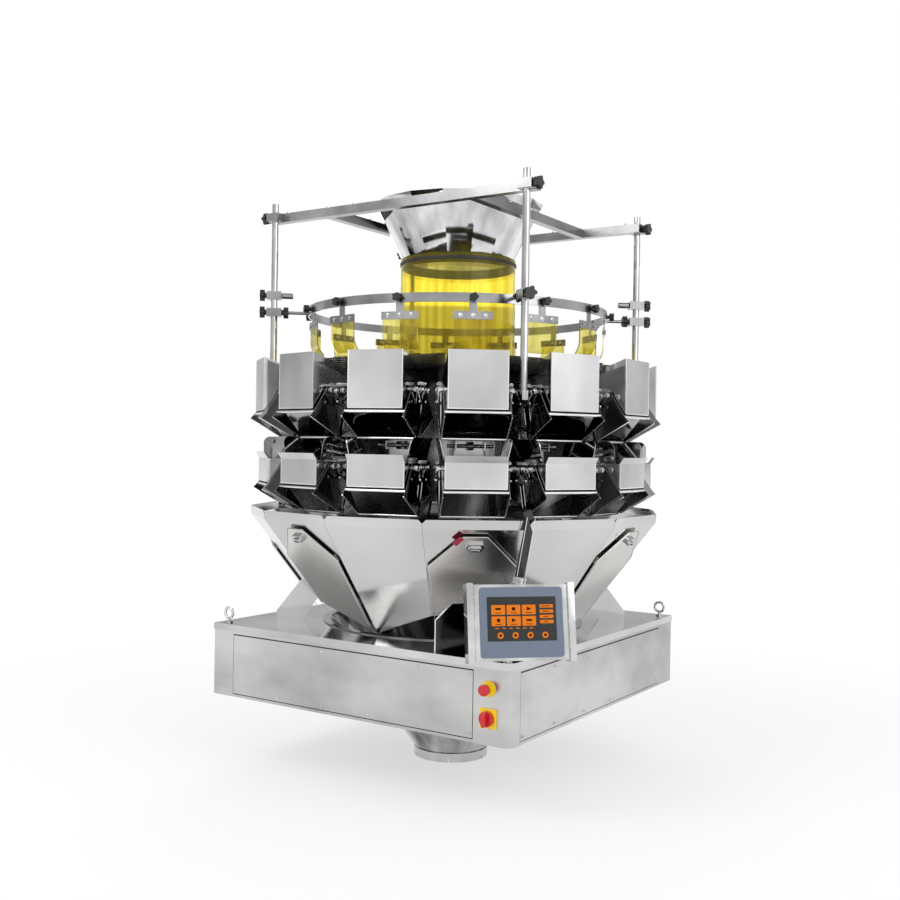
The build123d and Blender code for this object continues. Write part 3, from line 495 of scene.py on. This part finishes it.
def turn(angle):
    # Matrix that turns a shape about the machine's axis, in degrees.
    a = math.radians(angle)
    m = np.eye(4)
    m[:2, :2] = [[math.cos(a), -math.sin(a)], [math.sin(a), math.cos(a)]]
    return m


def shift(point):
    # Matrix that moves a shape's origin to the point.
    m = np.eye(4)
    m[:3, 3] = point
    return m


def copies(shape, matrices):
    # The shape once for each 4x4 matrix.
    points, faces = shape
    m = np.array(matrices)
    moved = points @ m[:, :3, :3].transpose(0, 2, 1) + m[:, None, :3, 3]
    n = len(points)
    return moved.reshape(-1, 3), [[v + i * n for v in face] for i in range(len(m)) for face in faces]


def merged(shapes):
    # Several shapes as one, their faces renumbered.
    points, faces, start = [], [], 0
    for p, f in shapes:
        points.append(p)
        faces += [[v + start for v in face] for face in f]
        start += len(p)
    return np.vstack(points), faces


def mirrored(shape, middle):
    # The shape seen in the plane x = middle.
    points, faces = shape
    return points * (-1, 1, 1) + (2 * middle, 0, 0), [face[::-1] for face in faces]


def addPiece(name, shape, material, body="machine"):
    # Makes the mesh in metres, smooth but for its sharp bends, and says what it rides on.
    points, faces = shape
    mesh = bpy.data.meshes.new(name)
    mesh.from_pydata((points * mm).tolist(), [], faces)
    mesh.polygons.foreach_set("use_smooth", [True] * len(mesh.polygons))
    mesh.set_sharp_from_angle(angle=math.radians(35))
    mesh.materials.append(material)
    piece = bpy.data.objects.new(name, mesh)
    bpy.context.scene.collection.objects.link(piece)
    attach(piece, body)


def screw(radius, height):
    # Button-head screw with a socket in its top.
    return revolve(
        [
            (radius, 0),
            (radius, height * 0.35),
            (radius * 0.82, height * 0.8),
            (radius * 0.55, height),
            (radius * 0.42, height),
            (radius * 0.38, height * 0.45),
        ],
        12,
    )


def hexBolt(radius, height):
    # Hexagon head on a washer.
    washer = revolve([(radius * 1.35, 0), (radius * 1.35, height * 0.2), (radius * 1.2, height * 0.25)], 16)
    head = revolve([(radius, height * 0.2), (radius, height * 0.85), (radius * 0.82, height)], 6)
    return merged([washer, head])


heads = range(headCount)
openHeads = range(-5, 2)  # heads whose outer gates move, counted from +X
shutHeads = range(2, 9)
hopperDepth = 174
hopperRows = {  # front plate: distance from the axis, bottom, half its width, top
    "feed": (592, 820, 76.5, 969),
    "weigh": (580, 619, 80, 686),
}


def atHeads(numbers):
    # Matrices that carry a shape made at head 0 to each of the numbered heads.
    return [turn(k * headPitch) for k in numbers]


# folded edges of the gates, beads of near-white steel whose brightness is painted highlight: hems along the
# floor's foot and top, and along both flanges
gateSettings = {
    "run": 87,
    "drop": 75,
    "gap": 1,
    "sheet": 2.5,
    "flange": 22,
    "half": 86,
    "flankIn": 1.25,
    "hem": 7,
    "edge": 3.6,
}


def gateHems(s, front, bottom):
    # In the radial plane the floor runs from its foot, run behind the front and drop below the bottom, up
    # to the hopper's bottom; the hems lie on its outer side.
    slope = math.atan2(s["drop"], s["run"])
    out = np.array([math.sin(slope), 0, -math.cos(slope)])
    along = np.array([math.cos(slope), 0, math.sin(slope)])
    foot = np.array([front + s["gap"] - s["run"], 0, bottom - s["drop"]])
    top = np.array([front, 0, bottom - s["gap"] - s["sheet"]])
    wide = np.array([0, s["half"], 0])
    skin, inward = out * s["sheet"], along * s["hem"] / 2
    made = []
    for middle in (foot + skin + inward, top + skin - inward):
        made.append(sweep([middle - wide, middle + wide], bead(s["hem"]), out))
    tip, heel = top + out * s["flange"], foot + skin
    edge = tip - heel
    away = np.array([edge[2], 0, -edge[0]]) / np.linalg.norm(edge)
    for side in (1, -1):
        inset = np.array([0, side * (s["half"] - s["flankIn"]), 0])
        made.append(sweep([heel + inset, tip + inset], bead(s["edge"]), away))
    return merged(made)


for row, (front, bottom, half, top) in hopperRows.items():
    hems = gateHems(gateSettings, front, bottom)
    for count, matrix in enumerate(atHeads(openHeads)):
        name, body = f"{row}_gate_hem_highlights_{count + 1}", f"{row}_gate_{count + 1}"
        addPiece(name, copies(hems, [matrix]), highlightSteel, body)
    rear = copies(hems, atHeads(shutHeads))
    inner = copies(mirrored(hems, front - hopperDepth / 2), atHeads(heads))
    addPiece(f"{row}_fixed_gate_hem_highlights", merged([rear, inner]), highlightSteel)
print("gate hems placed")

# painted highlights where each hopper's front plate bends, down both sides and along its foot: flat strips of
# near-white steel
frontHighlightSettings = {"width": 2.4, "footWidth": 3, "thick": 0.7}


def frontHighlights(s, front, bottom, half, top):
    # Painted highlight strips that lie on the front plate, each with its outer edge on the plate's own.
    y, z = half - s["width"] / 2, bottom + s["footWidth"] / 2
    upright = hem(s["width"], s["thick"])
    ends = [[(front, side * y, bottom), (front, side * y, top)] for side in (1, -1)]
    made = [sweep(pair, upright, (1, 0, 0)) for pair in ends]
    foot = sweep([(front, -half, z), (front, half, z)], hem(s["footWidth"], s["thick"]), (1, 0, 0))
    return merged(made + [foot])


bends = merged([frontHighlights(frontHighlightSettings, *row) for row in hopperRows.values()])
addPiece("hopper_front_highlights", copies(bends, atHeads(heads)), highlightSteel)

# gate linkage at both sides of each hopper: a strap over the two pivots, nuts, levers and a tension spring
linkSettings = {
    "y": 90.3,
    "pivotIn": 47,
    "pivotUp": 50,
    "width": 15,
    "thick": 2.5,
    "nut": (6.5, 6),  # radius and height, as for every fastener
    "lever": (46, 11),
    "leverIn": 12,
    "leverGap": 0.1,
    "leverDown": 17,
    "lean": 0.75,
    "leverScrew": (4, 3.5),
    "leverScrewDown": 30,
    "strapScrew": (4.5, 4),
    "strapScrewIn": 22,
}
springSettings = {
    "y": 93.5,
    "up": 66,
    "span": 44,
    "turns": 11,
    "radius": 3.6,
    "wire": 0.8,
    "sides": 6,
    "steps": 10,
}


def linkage(s, front, bottom):
    # Strap over both pivots with its nuts, and two levers that lean out below it with a screw each.
    middle, z = front - hopperDepth / 2, bottom + s["pivotUp"]
    strap = slab(slot(hopperDepth - 2 * s["pivotIn"] + s["width"], s["width"]), s["thick"])
    lever = slab(slot(*s["lever"]), s["thick"])
    made = []
    for side in (1, -1):
        y, out = side * s["y"], (0, side, 0)
        onStrap, onLever = side * (s["y"] + s["thick"]), side * (s["y"] + 2 * s["thick"])
        made.append(copies(strap, [stand((middle, y, z), out)]))
        for x in (front - s["pivotIn"], front - hopperDepth + s["pivotIn"], middle):
            made.append(copies(hexBolt(*s["nut"]), [stand((x, onStrap, z), out)]))
        for hand in (1, -1):
            x, lean = middle + hand * s["leverIn"], hand * s["lean"]
            place = (x, onStrap + side * s["leverGap"], z - s["leverDown"])
            made.append(copies(lever, [stand(place, out, (lean, 0, 1)) @ turn(90)]))
            end = (x + lean * s["leverIn"], onLever, z - s["leverScrewDown"])
            made.append(copies(screw(*s["leverScrew"]), [stand(end, out)]))
        for x in (middle + s["strapScrewIn"], middle - s["strapScrewIn"]):
            made.append(copies(screw(*s["strapScrew"]), [stand((x, onStrap, z), out)]))
    return merged(made)


def springs(s, front, bottom):
    # A wire along a helix: at turn a the wire's middle is (span a / end, r cos a, r sin a).
    a = np.linspace(0, s["turns"] * 2 * np.pi, s["turns"] * s["steps"] + 1)
    path = np.column_stack([s["span"] * a / a[-1], s["radius"] * np.cos(a), s["radius"] * np.sin(a)])
    b = np.arange(s["sides"]) * 2 * np.pi / s["sides"]
    up = (1, 0.001, 0.002)  # a little off X, so that it never lies along the wire
    coil = sweep(path, np.column_stack([np.cos(b), np.sin(b)]) * s["wire"], up)
    start = front - hopperDepth / 2 - s["span"] / 2
    return copies(coil, [shift((start, side * s["y"], bottom + s["up"])) for side in (1, -1)])


links = [linkage(linkSettings, front, bottom) for front, bottom, half, top in hopperRows.values()]
coils = [springs(springSettings, front, bottom) for front, bottom, half, top in hopperRows.values()]
addPiece("gate_links", copies(merged(links), atHeads(heads)), arms)
addPiece("gate_springs", copies(merged(coils), atHeads(heads)), highlightSteel)
print("gate linkages placed")

# base: screws round each cover, and painted shadow round it: a thin black strip where the shade of the gap
# falls
coverSettings = {
    "covers": {-90: (-15, 810), 0: (-30, 850), 90: (0, 810), 180: (0, 810)},  # side: middle, length
    "plane": 500,
    "wall": 498,
    "low": 20.5,
    "high": 166.5,
    "inset": 10,
    "across": 6,
    "screw": (4, 2.6),
    "gapShadowWidth": 3,
    "gapShadowRise": 0.5,
}


def onSide(angle, along, z, reach):
    # Point on the side that faces the angle; along runs with +X or +Y, whichever the side runs with.
    a = math.radians(angle)
    x, y = reach * math.cos(a), reach * math.sin(a)
    return (x + along * abs(math.sin(a)), y + along * abs(math.cos(a)), z)


def coverTrim(s, angle, middle, length):
    # Matrices of the screws, and the four strips of painted gap shadow, which run half their width outside
    # the cover.
    out = (math.cos(math.radians(angle)), math.sin(math.radians(angle)), 0)
    half, gap = length / 2, s["gapShadowWidth"] / 2
    spots = []
    for along in np.linspace(middle - half + s["inset"], middle + half - s["inset"], s["across"]):
        for z in (s["low"], s["high"]):
            spots.append(stand(onSide(angle, along, z, s["plane"]), out))
    left, right = middle - half - gap, middle + half + gap
    low, high = s["low"] - s["inset"] - gap, s["high"] + s["inset"] + gap
    loop = [(left, low), (right, low), (right, high), (left, high)]
    loop = [onSide(angle, x, z, s["wall"]) for x, z in loop]
    strip = hem(s["gapShadowWidth"], s["gapShadowRise"])
    return spots, [sweep(ends, strip, out) for ends in zip(loop, loop[1:] + loop[:1])]


screwSpots, gapShadowStrips = [], []
for angle, (middle, length) in coverSettings["covers"].items():
    spots, strips = coverTrim(coverSettings, angle, middle, length)
    screwSpots += spots
    gapShadowStrips += strips
addPiece("cover_screws", copies(screw(*coverSettings["screw"]), screwSpots), arms)
addPiece("cover_gap_shadows", merged(gapShadowStrips), blackPlastic)
print("cover screws placed")

# ring brackets: three bolts through each crossbar, a head on either face
bracketSettings = {
    "faces": {442: 1, 439: -1},  # distance from the axis: outwards or inwards
    "barMiddle": 1072.5,
    "spread": 34,
    "bolt": (4.2, 3.6),
}


def bracketSpots(s):
    # Where the bolts' heads stand on the crossbar at head 0.
    across = (-s["spread"], 0, s["spread"])
    return [stand((x, y, s["barMiddle"]), (out, 0, 0)) for x, out in s["faces"].items() for y in across]


bracketScrews = [matrix @ spot for matrix in atHeads(heads) for spot in bracketSpots(bracketSettings)]
addPiece("bracket_screws", copies(hexBolt(*bracketSettings["bolt"]), bracketScrews), arms)

# chute doors: a rolled rim up the sides and over the head of each, and a red tag at the shoulder of one
doorSettings = {
    "fold": (361, 205),  # the chute panel's lower and upper ends: distance from the axis, height
    "lip": (593, 519),
    "standOff": 9,
    "margin": 6,
    "low": 240,
    "shoulder": 425,
    "top": (32, 505),  # half width and height
    "rim": 2.4,
    "rimIn": 1.5,
    "tag": (28, 14, 2),
    "tagPlace": (-44, 496),
    "tagRise": 1.5,
    "tagHead": -2,
}
s = doorSettings
(foldReach, foldHeight), (lipReach, lipHeight) = s["fold"], s["lip"]
slope = math.atan2(lipHeight - foldHeight, lipReach - foldReach)
doorOut = np.array([math.sin(slope), 0, -math.cos(slope)])
upSlope = np.array([math.cos(slope), 0, math.sin(slope)])
doorFoot = np.array([foldReach, 0, foldHeight]) + doorOut * s["standOff"]


def onDoor(y, z):
    # Point of the door's outer face at head 0, at a height above the floor.
    return doorFoot + upSlope * (z - foldHeight) / math.sin(slope) + np.array([0, y, 0])


def doorHalf(z):
    # Half the door's width: the panel's own, less a margin.
    reach = foldReach + (z - foldHeight) * (lipReach - foldReach) / (lipHeight - foldHeight)
    return reach * math.tan(math.pi / headCount) - doorSettings["margin"]


shoulder = (doorHalf(s["shoulder"]), s["shoulder"])
corners = [(doorHalf(s["low"]), s["low"]), shoulder, s["top"]]
corners += [(-y, z) for y, z in corners[::-1]]
rim = sweep([onDoor(y - math.copysign(s["rimIn"], y), z) for y, z in corners], bead(s["rim"]), doorOut)
addPiece("door_rims", copies(rim, atHeads(range(0, headCount, 2))), doorSteel)

tagLong, tagWide, tagThick = s["tag"]
tagOutline = [(x * tagLong / 2, y * tagWide / 2) for x, y in ((-1, -1), (1, -1), (1, 1), (-1, 1))]
tagLean = onDoor(-s["top"][0], s["top"][1]) - onDoor(-shoulder[0], shoulder[1])
tagStand = stand(onDoor(*s["tagPlace"]) + doorOut * s["tagRise"], doorOut, tagLean) @ turn(90)
tag = copies(slab(tagOutline, tagThick), [turn(s["tagHead"] * headPitch) @ tagStand])
addPiece("door_tag", tag, tagPlastic)
print("door trim placed")

# infeed tube: dark lip round its mouth
lipSettings = {"radius": 174.4, "height": 1272, "inner": 1.2, "outer": 1.6, "half": 4, "points": 96}


def tubeLip(s):
    # A closed rectangular ring: at turn a its middle is (r cos a, r sin a, height).
    a = np.arange(s["points"]) * 2 * np.pi / s["points"]
    path = np.column_stack([s["radius"] * np.cos(a), s["radius"] * np.sin(a), np.full(len(a), s["height"])])
    inner, outer, half = s["inner"], s["outer"], s["half"]
    section = [(-inner, -half), (-inner, half), (outer, half), (outer, -half)]
    return sweep(path, section, (0, 0, 1), True)


addPiece("tube_bead", tubeLip(lipSettings), darkRubber)

# top frame: hexagon bolts on top of the bars, over the cross bars and near the ends
barSettings = {
    "postReach": 550,
    "inside": 23,
    "top": 1413,
    "alongBars": (-400, -248, -150, 150, 248, 400),
    "crossReach": 248,
    "acrossBars": (-120, 0, 120),
    "bolt": (5, 6),
}


def barBolts(s):
    # The bars run along X between posts that stand half way between heads 1 and 2 and their like.
    y = s["postReach"] * math.sin(math.radians(1.5 * headPitch)) - s["inside"]
    spots = [(x, side * y) for x in s["alongBars"] for side in (1, -1)]
    spots += [(side * s["crossReach"], across) for across in s["acrossBars"] for side in (1, -1)]
    return [stand(spot + (s["top"],), (0, 0, 1), (0, 1, 0)) for spot in spots]


addPiece("bar_bolts", copies(hexBolt(*barSettings["bolt"]), barBolts(barSettings)), arms)
print("tube bead and bar bolts placed")

# control panel: where it stands, facing out over the base's corner and leaning back
panelSettings = {
    "turn": -45,
    "tilt": 12,
    "cornerInset": 35,
    "shift": 23,
    "middle": 299,
    "depth": 34,
    "screwsAcross": (-118, 118),
    "screwsUp": (-60, 0, 60),
    "screw": (3.2, 1.8),
}
s = panelSettings
cornerReach = coverSettings["plane"] * math.sqrt(2)
cornerAngle, tilt = math.radians(s["turn"]), math.radians(s["tilt"])
outward = np.array([math.cos(cornerAngle), math.sin(cornerAngle), 0])
across = np.array([math.cos(cornerAngle + math.pi / 2), math.sin(cornerAngle + math.pi / 2), 0])
face = math.cos(tilt) * outward + np.array([0, 0, math.sin(tilt)])
upFace = np.cross(face, across)
panelMiddle = outward * (cornerReach - s["cornerInset"]) + across * s["shift"] + np.array([0, 0, s["middle"]])


def onPanel(x, y, rise):
    # Matrix at a point of the panel, x to the right and y up as it is read, rise off the housing's face.
    m = shift(panelMiddle + across * x + upFace * y + face * (panelSettings["depth"] + rise))
    m[:3, 0], m[:3, 1], m[:3, 2] = across, upFace, face
    return m


# the display: six tiles with a sign and a line, four bars, a row of dashes and four round buttons
displaySettings = {
    "glass": (171, 105, 1.5),  # width, height and corner radius, as for tiles, bars and buttons
    "glassUp": 8,
    "glassRise": 2.85,
    "glassThick": 0.5,
    "glassBevel": 0.2,
    "tileRise": 3.4,
    "markRise": 3.7,
    "thick": 0.3,
    "tile": {"size": (34, 23, 2), "start": (-58, 30), "step": (38, -27), "count": (3, 2)},
    "signUp": 2,
    "caption": (16, 1.6),
    "captionDown": 7.5,
    "bar": {"size": (34, 8, 1.5), "start": (62, 38), "step": -12.5, "count": 4},
    "barMark": (20, 1.8),
    "barMarkShrinks": 3,
    "barMarkLeft": 2,
    "dash": {"size": (9, 2), "start": (-62, -14), "step": 17, "count": 6},
    "button": {"size": (15, 15, 7), "start": (-54, -31), "step": 37, "count": 4},
    "buttonMark": (7, 7, 3),
}
signs = (slot(15, 5), roundedBox(9, 9, 4), [(-5, -5), (6, 0), (-5, 5)])  # bar, disc, triangle
tiles, marks = [], []


def drawn(outline, x, y, rise):
    # One flat shape on the display, its edge bevelled by half its thickness.
    thick = displaySettings["thick"]
    return copies(slab(outline, thick, thick / 2), [onPanel(x, y, rise)])


s = displaySettings
tile, bar, dash, button = s["tile"], s["bar"], s["dash"], s["button"]
for col in range(tile["count"][0]):
    for line in range(tile["count"][1]):
        x, y = tile["start"][0] + col * tile["step"][0], tile["start"][1] + line * tile["step"][1]
        tiles.append(drawn(roundedBox(*tile["size"]), x, y, s["tileRise"]))
        marks.append(drawn(signs[(col + line) % 3], x, y + s["signUp"], s["markRise"]))
        marks.append(drawn(slot(*s["caption"]), x, y - s["captionDown"], s["markRise"]))
for line in range(bar["count"]):
    x, y = bar["start"][0], bar["start"][1] + line * bar["step"]
    length, width = s["barMark"][0] - line * s["barMarkShrinks"], s["barMark"][1]
    tiles.append(drawn(roundedBox(*bar["size"]), x, y, s["tileRise"]))
    marks.append(drawn(slot(length, width), x - s["barMarkLeft"], y, s["markRise"]))
for col in range(dash["count"]):
    x, y = dash["start"][0] + col * dash["step"], dash["start"][1]
    tiles.append(drawn(slot(*dash["size"]), x, y, s["tileRise"]))
for col in range(button["count"]):
    x, y = button["start"][0] + col * button["step"], button["start"][1]
    tiles.append(drawn(roundedBox(*button["size"]), x, y, s["tileRise"]))
    marks.append(drawn(roundedBox(*s["buttonMark"]), x, y, s["markRise"]))
glass = slab(roundedBox(*s["glass"]), s["glassThick"], s["glassBevel"])
glass = copies(glass, [onPanel(0, s["glassUp"], s["glassRise"])])
addPiece("display_glass", glass, screenGlass)
addPiece("display_tiles", merged(tiles), screenTile)
addPiece("display_marks", merged(marks), screenMark)

# three screws down each side of the panel's housing
s = panelSettings
panelScrews = [onPanel(x, y, 0) for x in s["screwsAcross"] for y in s["screwsUp"]]
addPiece("panel_screws", copies(screw(*s["screw"]), panelScrews), arms)
print("control panel placed")

# conduit: a bright gland at its foot, just above the housing, and painted highlights up the edges of its
# outer face, strips of near-white steel
conduitSettings = {
    "reach": 634,
    "foot": (-42.3, 367.5),  # degrees from +X and height of the two bends
    "bend": (-39.4, 558),
    "half": 11,
    "glandUp": 22,
    "gland": [(17.5, 0), (17.5, 5), (16.2, 6), (16.2, 9), (17.5, 10), (17.5, 15), (16, 17)],
    "highlightWidth": 1.8,
    "highlightInset": 0.8,
    "highlightFrom": 40,
    "highlightTo": 6,
}
s = conduitSettings
conduitFoot, conduitBend = [
    np.array([s["reach"] * math.cos(math.radians(angle)), s["reach"] * math.sin(math.radians(angle)), height])
    for angle, height in (s["foot"], s["bend"])
]
lean = (conduitBend - conduitFoot) / np.linalg.norm(conduitBend - conduitFoot)
glandStand = stand(conduitFoot + lean * s["glandUp"], lean, (1, 1, 0))
addPiece("conduit_gland", copies(revolve(s["gland"], 24), [glandStand]), arms)

beside = np.cross(lean, outward) / np.linalg.norm(np.cross(lean, outward))
facing = np.cross(beside, lean)
# painted highlight strips along the conduit's two front edges
highlightStrips = []
for side in (1, -1):
    edge = beside * side * (s["half"] - s["highlightInset"]) + facing * s["half"]
    ends = [conduitFoot + lean * s["highlightFrom"] + edge, conduitBend - lean * s["highlightTo"] + edge]
    highlightStrips.append(sweep(ends, bead(s["highlightWidth"]), facing))
addPiece("conduit_painted_highlights", merged(highlightStrips), highlightSteel)

# stand plate behind the panel: a painted highlight, a strip of near-white steel, up its sides and along its
# top
standSettings = {
    "cornerInset": 176,
    "sheet": 3,
    "foot": 205,
    "outline": [(157, 0), (157, 82), (114, 125)],  # right half: out from the middle, up from the foot
    # width and thickness of the painted highlight strip
    "rim": (3.4, 1.2),
}


def standHighlight(s):
    # Painted highlight strip on the plate's outer face along its outline, drawn in from the edge by its own
    # thickness.
    highlightThick = s["rim"][1]
    reach = cornerReach - s["cornerInset"] + s["sheet"]
    path = []
    for x, z in [(-x, z) for x, z in s["outline"]] + s["outline"][::-1]:
        inward = x - math.copysign(highlightThick, x)
        height = s["foot"] + z - (highlightThick if z > 0 else 0)
        path.append(outward * reach + across * inward + (0, 0, height))
    return sweep(path, hem(*s["rim"]), outward)


addPiece("stand_highlight", standHighlight(standSettings), highlightSteel)
print("conduit and stand trimmed")

# stage and light
lampSettings = {  # power, size, place
    "key": (55, 2.0, (-1.2, -3.4, 3.2)),
    "fill": (32, 2.2, (3.6, -0.8, 2.2)),
    "back": (28, 2.5, (-2.0, 3.2, 2.8)),
}
lampTarget = (0, 0, 0.6)
for name, (energy, size, place) in lampSettings.items():
    light = bpy.data.lights.new(name, "AREA")
    light.energy = energy
    light.size = size
    holder = bpy.data.objects.new(name, light)
    holder.location = place
    holder.rotation_euler = (Vector(lampTarget) - Vector(place)).to_track_quat("-Z", "Y").to_euler()
    bpy.context.scene.collection.objects.link(holder)

# the floor takes the shadow near the machine and fades to the white of the background
floorSettings = {"drop": 2, "half": 40.0, "near": 0.9, "far": 2.6, "shade": "#f6f6f6", "least": 0.55}


def floorPaint(s):
    # Grey paint near the machine that gives way to white light with the distance from its axis.
    material, tree = newMaterial("floor")
    where = addNode(tree, "ShaderNodeTexCoord")
    distance = addNode(tree, "ShaderNodeVectorMath", {"operation": "LENGTH"}, {0: where.outputs["Object"]})
    fade = addNode(
        tree,
        "ShaderNodeMapRange",
        {"From Min": s["near"], "From Max": s["far"], "To Min": s["least"]},
        {"Value": distance.outputs["Value"]},
    )
    fade.interpolation_type = "SMOOTHSTEP"
    paint = addNode(tree, "ShaderNodeBsdfDiffuse", {"Color": linear(s["shade"])})
    glow = addNode(tree, "ShaderNodeEmission", {"Color": linear("#ffffff")})
    blend = addNode(
        tree,
        "ShaderNodeMixShader",
        links={0: fade.outputs[0], 1: paint.outputs[0], 2: glow.outputs[0]},
    )
    finishMaterial(tree, blend)
    return material


z = cadBox[0][2] - floorSettings["drop"] * mm
h = floorSettings["half"]
floorMesh = bpy.data.meshes.new("floor")
floorMesh.from_pydata([(-h, -h, z), (h, -h, z), (h, h, z), (-h, h, z)], [], [(0, 1, 2, 3)])
floorMesh.materials.append(floorPaint(floorSettings))
floor = bpy.data.objects.new("floor", floorMesh)
bpy.context.scene.collection.objects.link(floor)

# the world is white behind the machine and gives an even light; polished metal sees a studio that falls
# off in soft lobes
studioSettings = {
    "diffuse": 0.8,
    "darkest": 0.5,
    "brightest": 1.1,
    "lobes": (2.1, 2.1, 1.1),
    "place": (0.7, 0.3, 0.1),
}


def studioWorld(s):
    # Strength is 1 for rays from the camera or through the tube, the lobes for glossy rays, else even.
    world = bpy.data.worlds.new("studio")
    world.use_nodes = True
    tree = world.node_tree
    tree.nodes.clear()
    path = addNode(tree, "ShaderNodeLightPath")
    white = addNode(
        tree,
        "ShaderNodeMath",
        {"operation": "MAXIMUM"},
        {0: path.outputs["Is Camera Ray"], 1: path.outputs["Is Transmission Ray"]},
    )
    where = addNode(tree, "ShaderNodeTexCoord")
    spread = addNode(
        tree,
        "ShaderNodeMapping",
        {"Scale": s["lobes"], "Location": s["place"]},
        {"Vector": where.outputs["Generated"]},
    )
    lobes = addNode(
        tree,
        "ShaderNodeTexNoise",
        {"Scale": 1.0, "Detail": 0.0},
        {"Vector": spread.outputs[0]},
    )
    studio = addNode(
        tree,
        "ShaderNodeMapRange",
        {"From Min": 0.38, "From Max": 0.6, "To Min": s["darkest"], "To Max": s["brightest"]},
        {"Value": lobes.outputs["Fac"]},
    )
    glossy = addNode(
        tree,
        "ShaderNodeMix",
        {"data_type": "FLOAT", 2: s["diffuse"]},
        {0: path.outputs["Is Glossy Ray"], 3: studio.outputs[0]},
    )
    strength = addNode(
        tree,
        "ShaderNodeMix",
        {"data_type": "FLOAT", 3: 1.0},
        {0: white.outputs[0], 2: glossy.outputs[0]},
    )
    sky = addNode(
        tree,
        "ShaderNodeBackground",
        {"Color": linear("#ffffff")},
        {"Strength": strength.outputs[0]},
    )
    addNode(tree, "ShaderNodeOutputWorld", links={"Surface": sky.outputs[0]})
    return world


bpy.context.scene.world = studioWorld(studioSettings)
bpy.context.scene.view_settings.view_transform = "Standard"
print("stage and lights set")
